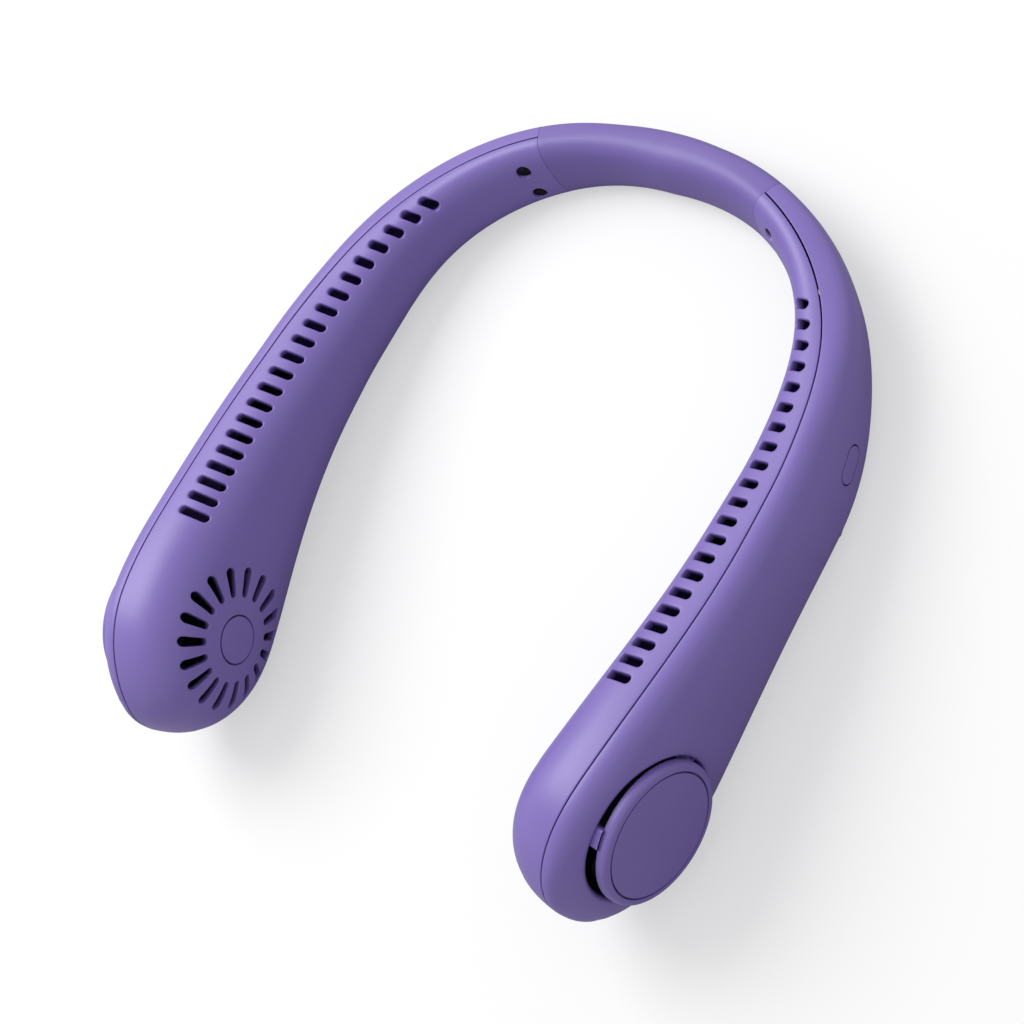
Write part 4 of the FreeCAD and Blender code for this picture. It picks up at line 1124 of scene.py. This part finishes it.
# %% A finish from two tones
SPECULAR, RELIEF_DEPTH = 0.5, 0.0001
FINISHES = {}


def linear(red, green, blue):
    """Colour for a shader from the numbers 0 to 255 that a picture shows, by the sRGB curve."""
    c = np.array([red, green, blue]) / 255
    return tuple(np.where(c <= 0.04045, c / 12.92, ((c + 0.055) / 1.055) ** 2.4)) + (1.0,)


def finish(name, dark, light, shine, grain=3500.0, cloud=60.0, bump=0.06, metallic=0.0):
    """Principled finish whose tone and roughness drift between two values with the cloudiness."""
    material = bpy.data.materials.new(name)
    material.use_nodes = True
    nodes, links = material.node_tree.nodes, material.node_tree.links
    shader = nodes["Principled BSDF"]
    shader.inputs["Metallic"].default_value = metallic
    shader.inputs["Specular IOR Level"].default_value = SPECULAR
    texture = nodes.new("ShaderNodeGroup")
    texture.node_tree = GRAIN
    texture.inputs["Grain Scale"].default_value = grain
    texture.inputs["Cloud Scale"].default_value = cloud
    tone = nodes.new("ShaderNodeMix")
    tone.data_type = "RGBA"
    tone.inputs["A"].default_value = linear(*dark)
    tone.inputs["B"].default_value = linear(*light)
    rough = nodes.new("ShaderNodeMapRange")
    rough.inputs["To Min"].default_value, rough.inputs["To Max"].default_value = shine
    relief = nodes.new("ShaderNodeBump")
    relief.inputs["Strength"].default_value = bump
    relief.inputs["Distance"].default_value = RELIEF_DEPTH
    links.new(texture.outputs["Cloud"], tone.inputs["Factor"])
    links.new(tone.outputs["Result"], shader.inputs["Base Color"])
    links.new(texture.outputs["Cloud"], rough.inputs["Value"])
    links.new(rough.outputs["Result"], shader.inputs["Roughness"])
    links.new(texture.outputs["Height"], relief.inputs["Height"])
    links.new(relief.outputs["Normal"], shader.inputs["Normal"])
    FINISHES[name] = material


print("relief", RELIEF_DEPTH, "m deep")

# %% [markdown]
# Each finish is two close tones and two close values of roughness, between which the cloudiness
# drifts. One flat colour for each would be simpler, but it would look like paint. The band is softer
# than the mouldings, and its darker tone is painted shade, as it is the same violet plastic. The pieces
# inside are dark plastic, steel, bronze, copper and a green board, as such parts are. The screws are a
# near-black steel, painted shade that darkens their recesses.

# %% Finishes
finish("violet_satin", (119, 100, 175), (125, 106, 181), (0.36, 0.44))
# The band's darker tone is painted shade: it is the same violet as the mouldings.
finish("violet_soft", (111, 93, 164), (117, 99, 170), (0.46, 0.54), grain=5000.0)
finish("dark_plastic", (22, 19, 32), (30, 26, 42), (0.45, 0.6))
# Near-black steel for the screws: painted shade that darkens their recesses.
finish("blackened_steel", (24, 22, 28), (36, 33, 42), (0.45, 0.6), metallic=1.0)
finish("steel", (150, 152, 158), (186, 188, 194), (0.25, 0.4), grain=900.0, metallic=1.0)
finish("bronze", (132, 92, 50), (164, 118, 68), (0.4, 0.55), metallic=1.0)
finish("winding", (122, 58, 28), (168, 88, 44), (0.3, 0.45), grain=1500.0, metallic=0.8)
finish("magnet", (46, 46, 50), (66, 66, 70), (0.5, 0.65))
finish("cell_wrap", (46, 92, 128), (58, 106, 142), (0.3, 0.4))
finish("board", (18, 70, 46), (26, 88, 58), (0.4, 0.55), grain=700.0)
finish("wire", (36, 34, 38), (52, 50, 54), (0.45, 0.6))
print("finishes", len(FINISHES))

# %% Finish of every piece
PIECE_FINISH = {
    "moulding": "violet_satin", "cap_dish": "violet_satin", "inlay": "violet_satin",
    # The band's finish carries painted shade in its darker tone.
    "button_cap": "violet_satin", "neck_band": "violet_soft", "spring_strip": "steel", "wire_loom": "wire",
}
NODE_FINISH = {
    "fan_housing": "dark_plastic", "motor_mount": "dark_plastic", "duct_floor": "dark_plastic",
    # The screws' near-black finish is painted shade in their recesses.
    "band_plug": "dark_plastic", "impeller": "dark_plastic", "band_screws": "blackened_steel",
    "bearing": "bronze", "stator": "winding", "shaft": "steel", "magnet_ring": "magnet",
    "rotor_cup": "steel", "battery": "cell_wrap", "main_board": "board", "button_switch": "dark_plastic",
    "switch_stem": "dark_plastic", "charging_socket": "steel",
}
for name, piece in pieces.items():
    key = next(word for word in PIECE_FINISH if word in name)
    piece.data.materials.append(FINISHES[PIECE_FINISH[key]])
shown = [name for name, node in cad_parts.items() if not node.hide_render]
for name in shown:
    key = next(word for word in NODE_FINISH if name.endswith(word))
    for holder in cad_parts[name].material_slots:
        holder.material = FINISHES[NODE_FINISH[key]]
print("new pieces", len(pieces), "kept CAD nodes", len(shown))

# %% [markdown]
# Light. The photograph has a white sweep and one large soft light from above on the left, so top
# faces are brighter than the sides. The world is plain white for the camera and for reflections, and
# dimmer as a source of light. A white world alone would light every face alike.

# %% Studio
AMBIENT, KEY_WATTS, KEY_SIZE, KEY_AT = 0.62, 11.5, 0.8, (-0.70, 0.145, 0.97)
WHITE = (1, 1, 1, 1)
world = bpy.data.worlds.new("studio")
bpy.context.scene.world = world
world.use_nodes = True
nodes, links = world.node_tree.nodes, world.node_tree.links
nodes.clear()
path = nodes.new("ShaderNodeLightPath")
seen = path.outputs["Is Camera Ray"]
for ray in ("Is Glossy Ray", "Is Transmission Ray"):
    either = nodes.new("ShaderNodeMath")
    either.operation = "MAXIMUM"
    links.new(seen, either.inputs[0])
    links.new(path.outputs[ray], either.inputs[1])
    seen = either.outputs[0]
mix = nodes.new("ShaderNodeMixShader")
links.new(seen, mix.inputs[0])
for socket, strength in ((1, AMBIENT), (2, 1.0)):
    background = nodes.new("ShaderNodeBackground")
    background.inputs["Color"].default_value = WHITE
    background.inputs["Strength"].default_value = strength
    links.new(background.outputs[0], mix.inputs[socket])
links.new(mix.outputs[0], nodes.new("ShaderNodeOutputWorld").inputs["Surface"])

key_light = bpy.data.objects.new("key_light", bpy.data.lights.new("key_light", "AREA"))
key_light.data.energy, key_light.data.size = KEY_WATTS, KEY_SIZE
key_light.location = KEY_AT
key_light.rotation_euler = Vector(KEY_AT).to_track_quat("Z", "Y").to_euler()
bpy.context.scene.collection.objects.link(key_light)
bpy.context.scene.view_settings.view_transform = "Standard"
print("key light", KEY_WATTS, "W")

# %% [markdown]
# Floor. The real fan lies on a white sweep. The floor here is a plain square, pale enough to take a
# soft shadow, with a little glow of its own that only the camera sees. The glow brings it up to white
# without throwing more light on the underside of the collar.

# %% Floor
FLOOR_HALF, FLOOR_TONE, FLOOR_GLOW = 3.0, 0.45, 0.5
mesh = bpy.data.meshes.new("floor")
corners = [(-1, -1, 0), (1, -1, 0), (1, 1, 0), (-1, 1, 0)]
mesh.from_pydata(np.array(corners) * FLOOR_HALF, [], [(0, 1, 2, 3)])
floor = bpy.data.objects.new("floor", mesh)
bpy.context.scene.collection.objects.link(floor)
pale = bpy.data.materials.new("pale_floor")
pale.use_nodes = True
nodes, links = pale.node_tree.nodes, pale.node_tree.links
shader = nodes["Principled BSDF"]
shader.inputs["Base Color"].default_value = (FLOOR_TONE, FLOOR_TONE, FLOOR_TONE, 1)
shader.inputs["Roughness"].default_value = 1.0
shader.inputs["Specular IOR Level"].default_value = 0.0
path = nodes.new("ShaderNodeLightPath")
glow = nodes.new("ShaderNodeMath")
glow.operation = "MULTIPLY"
glow.inputs[1].default_value = FLOOR_GLOW
links.new(path.outputs["Is Camera Ray"], glow.inputs[0])
shader.inputs["Emission Color"].default_value = WHITE
links.new(glow.outputs[0], shader.inputs["Emission Strength"])
mesh.materials.append(pale)
print("floor", FLOOR_HALF * 2, "m")
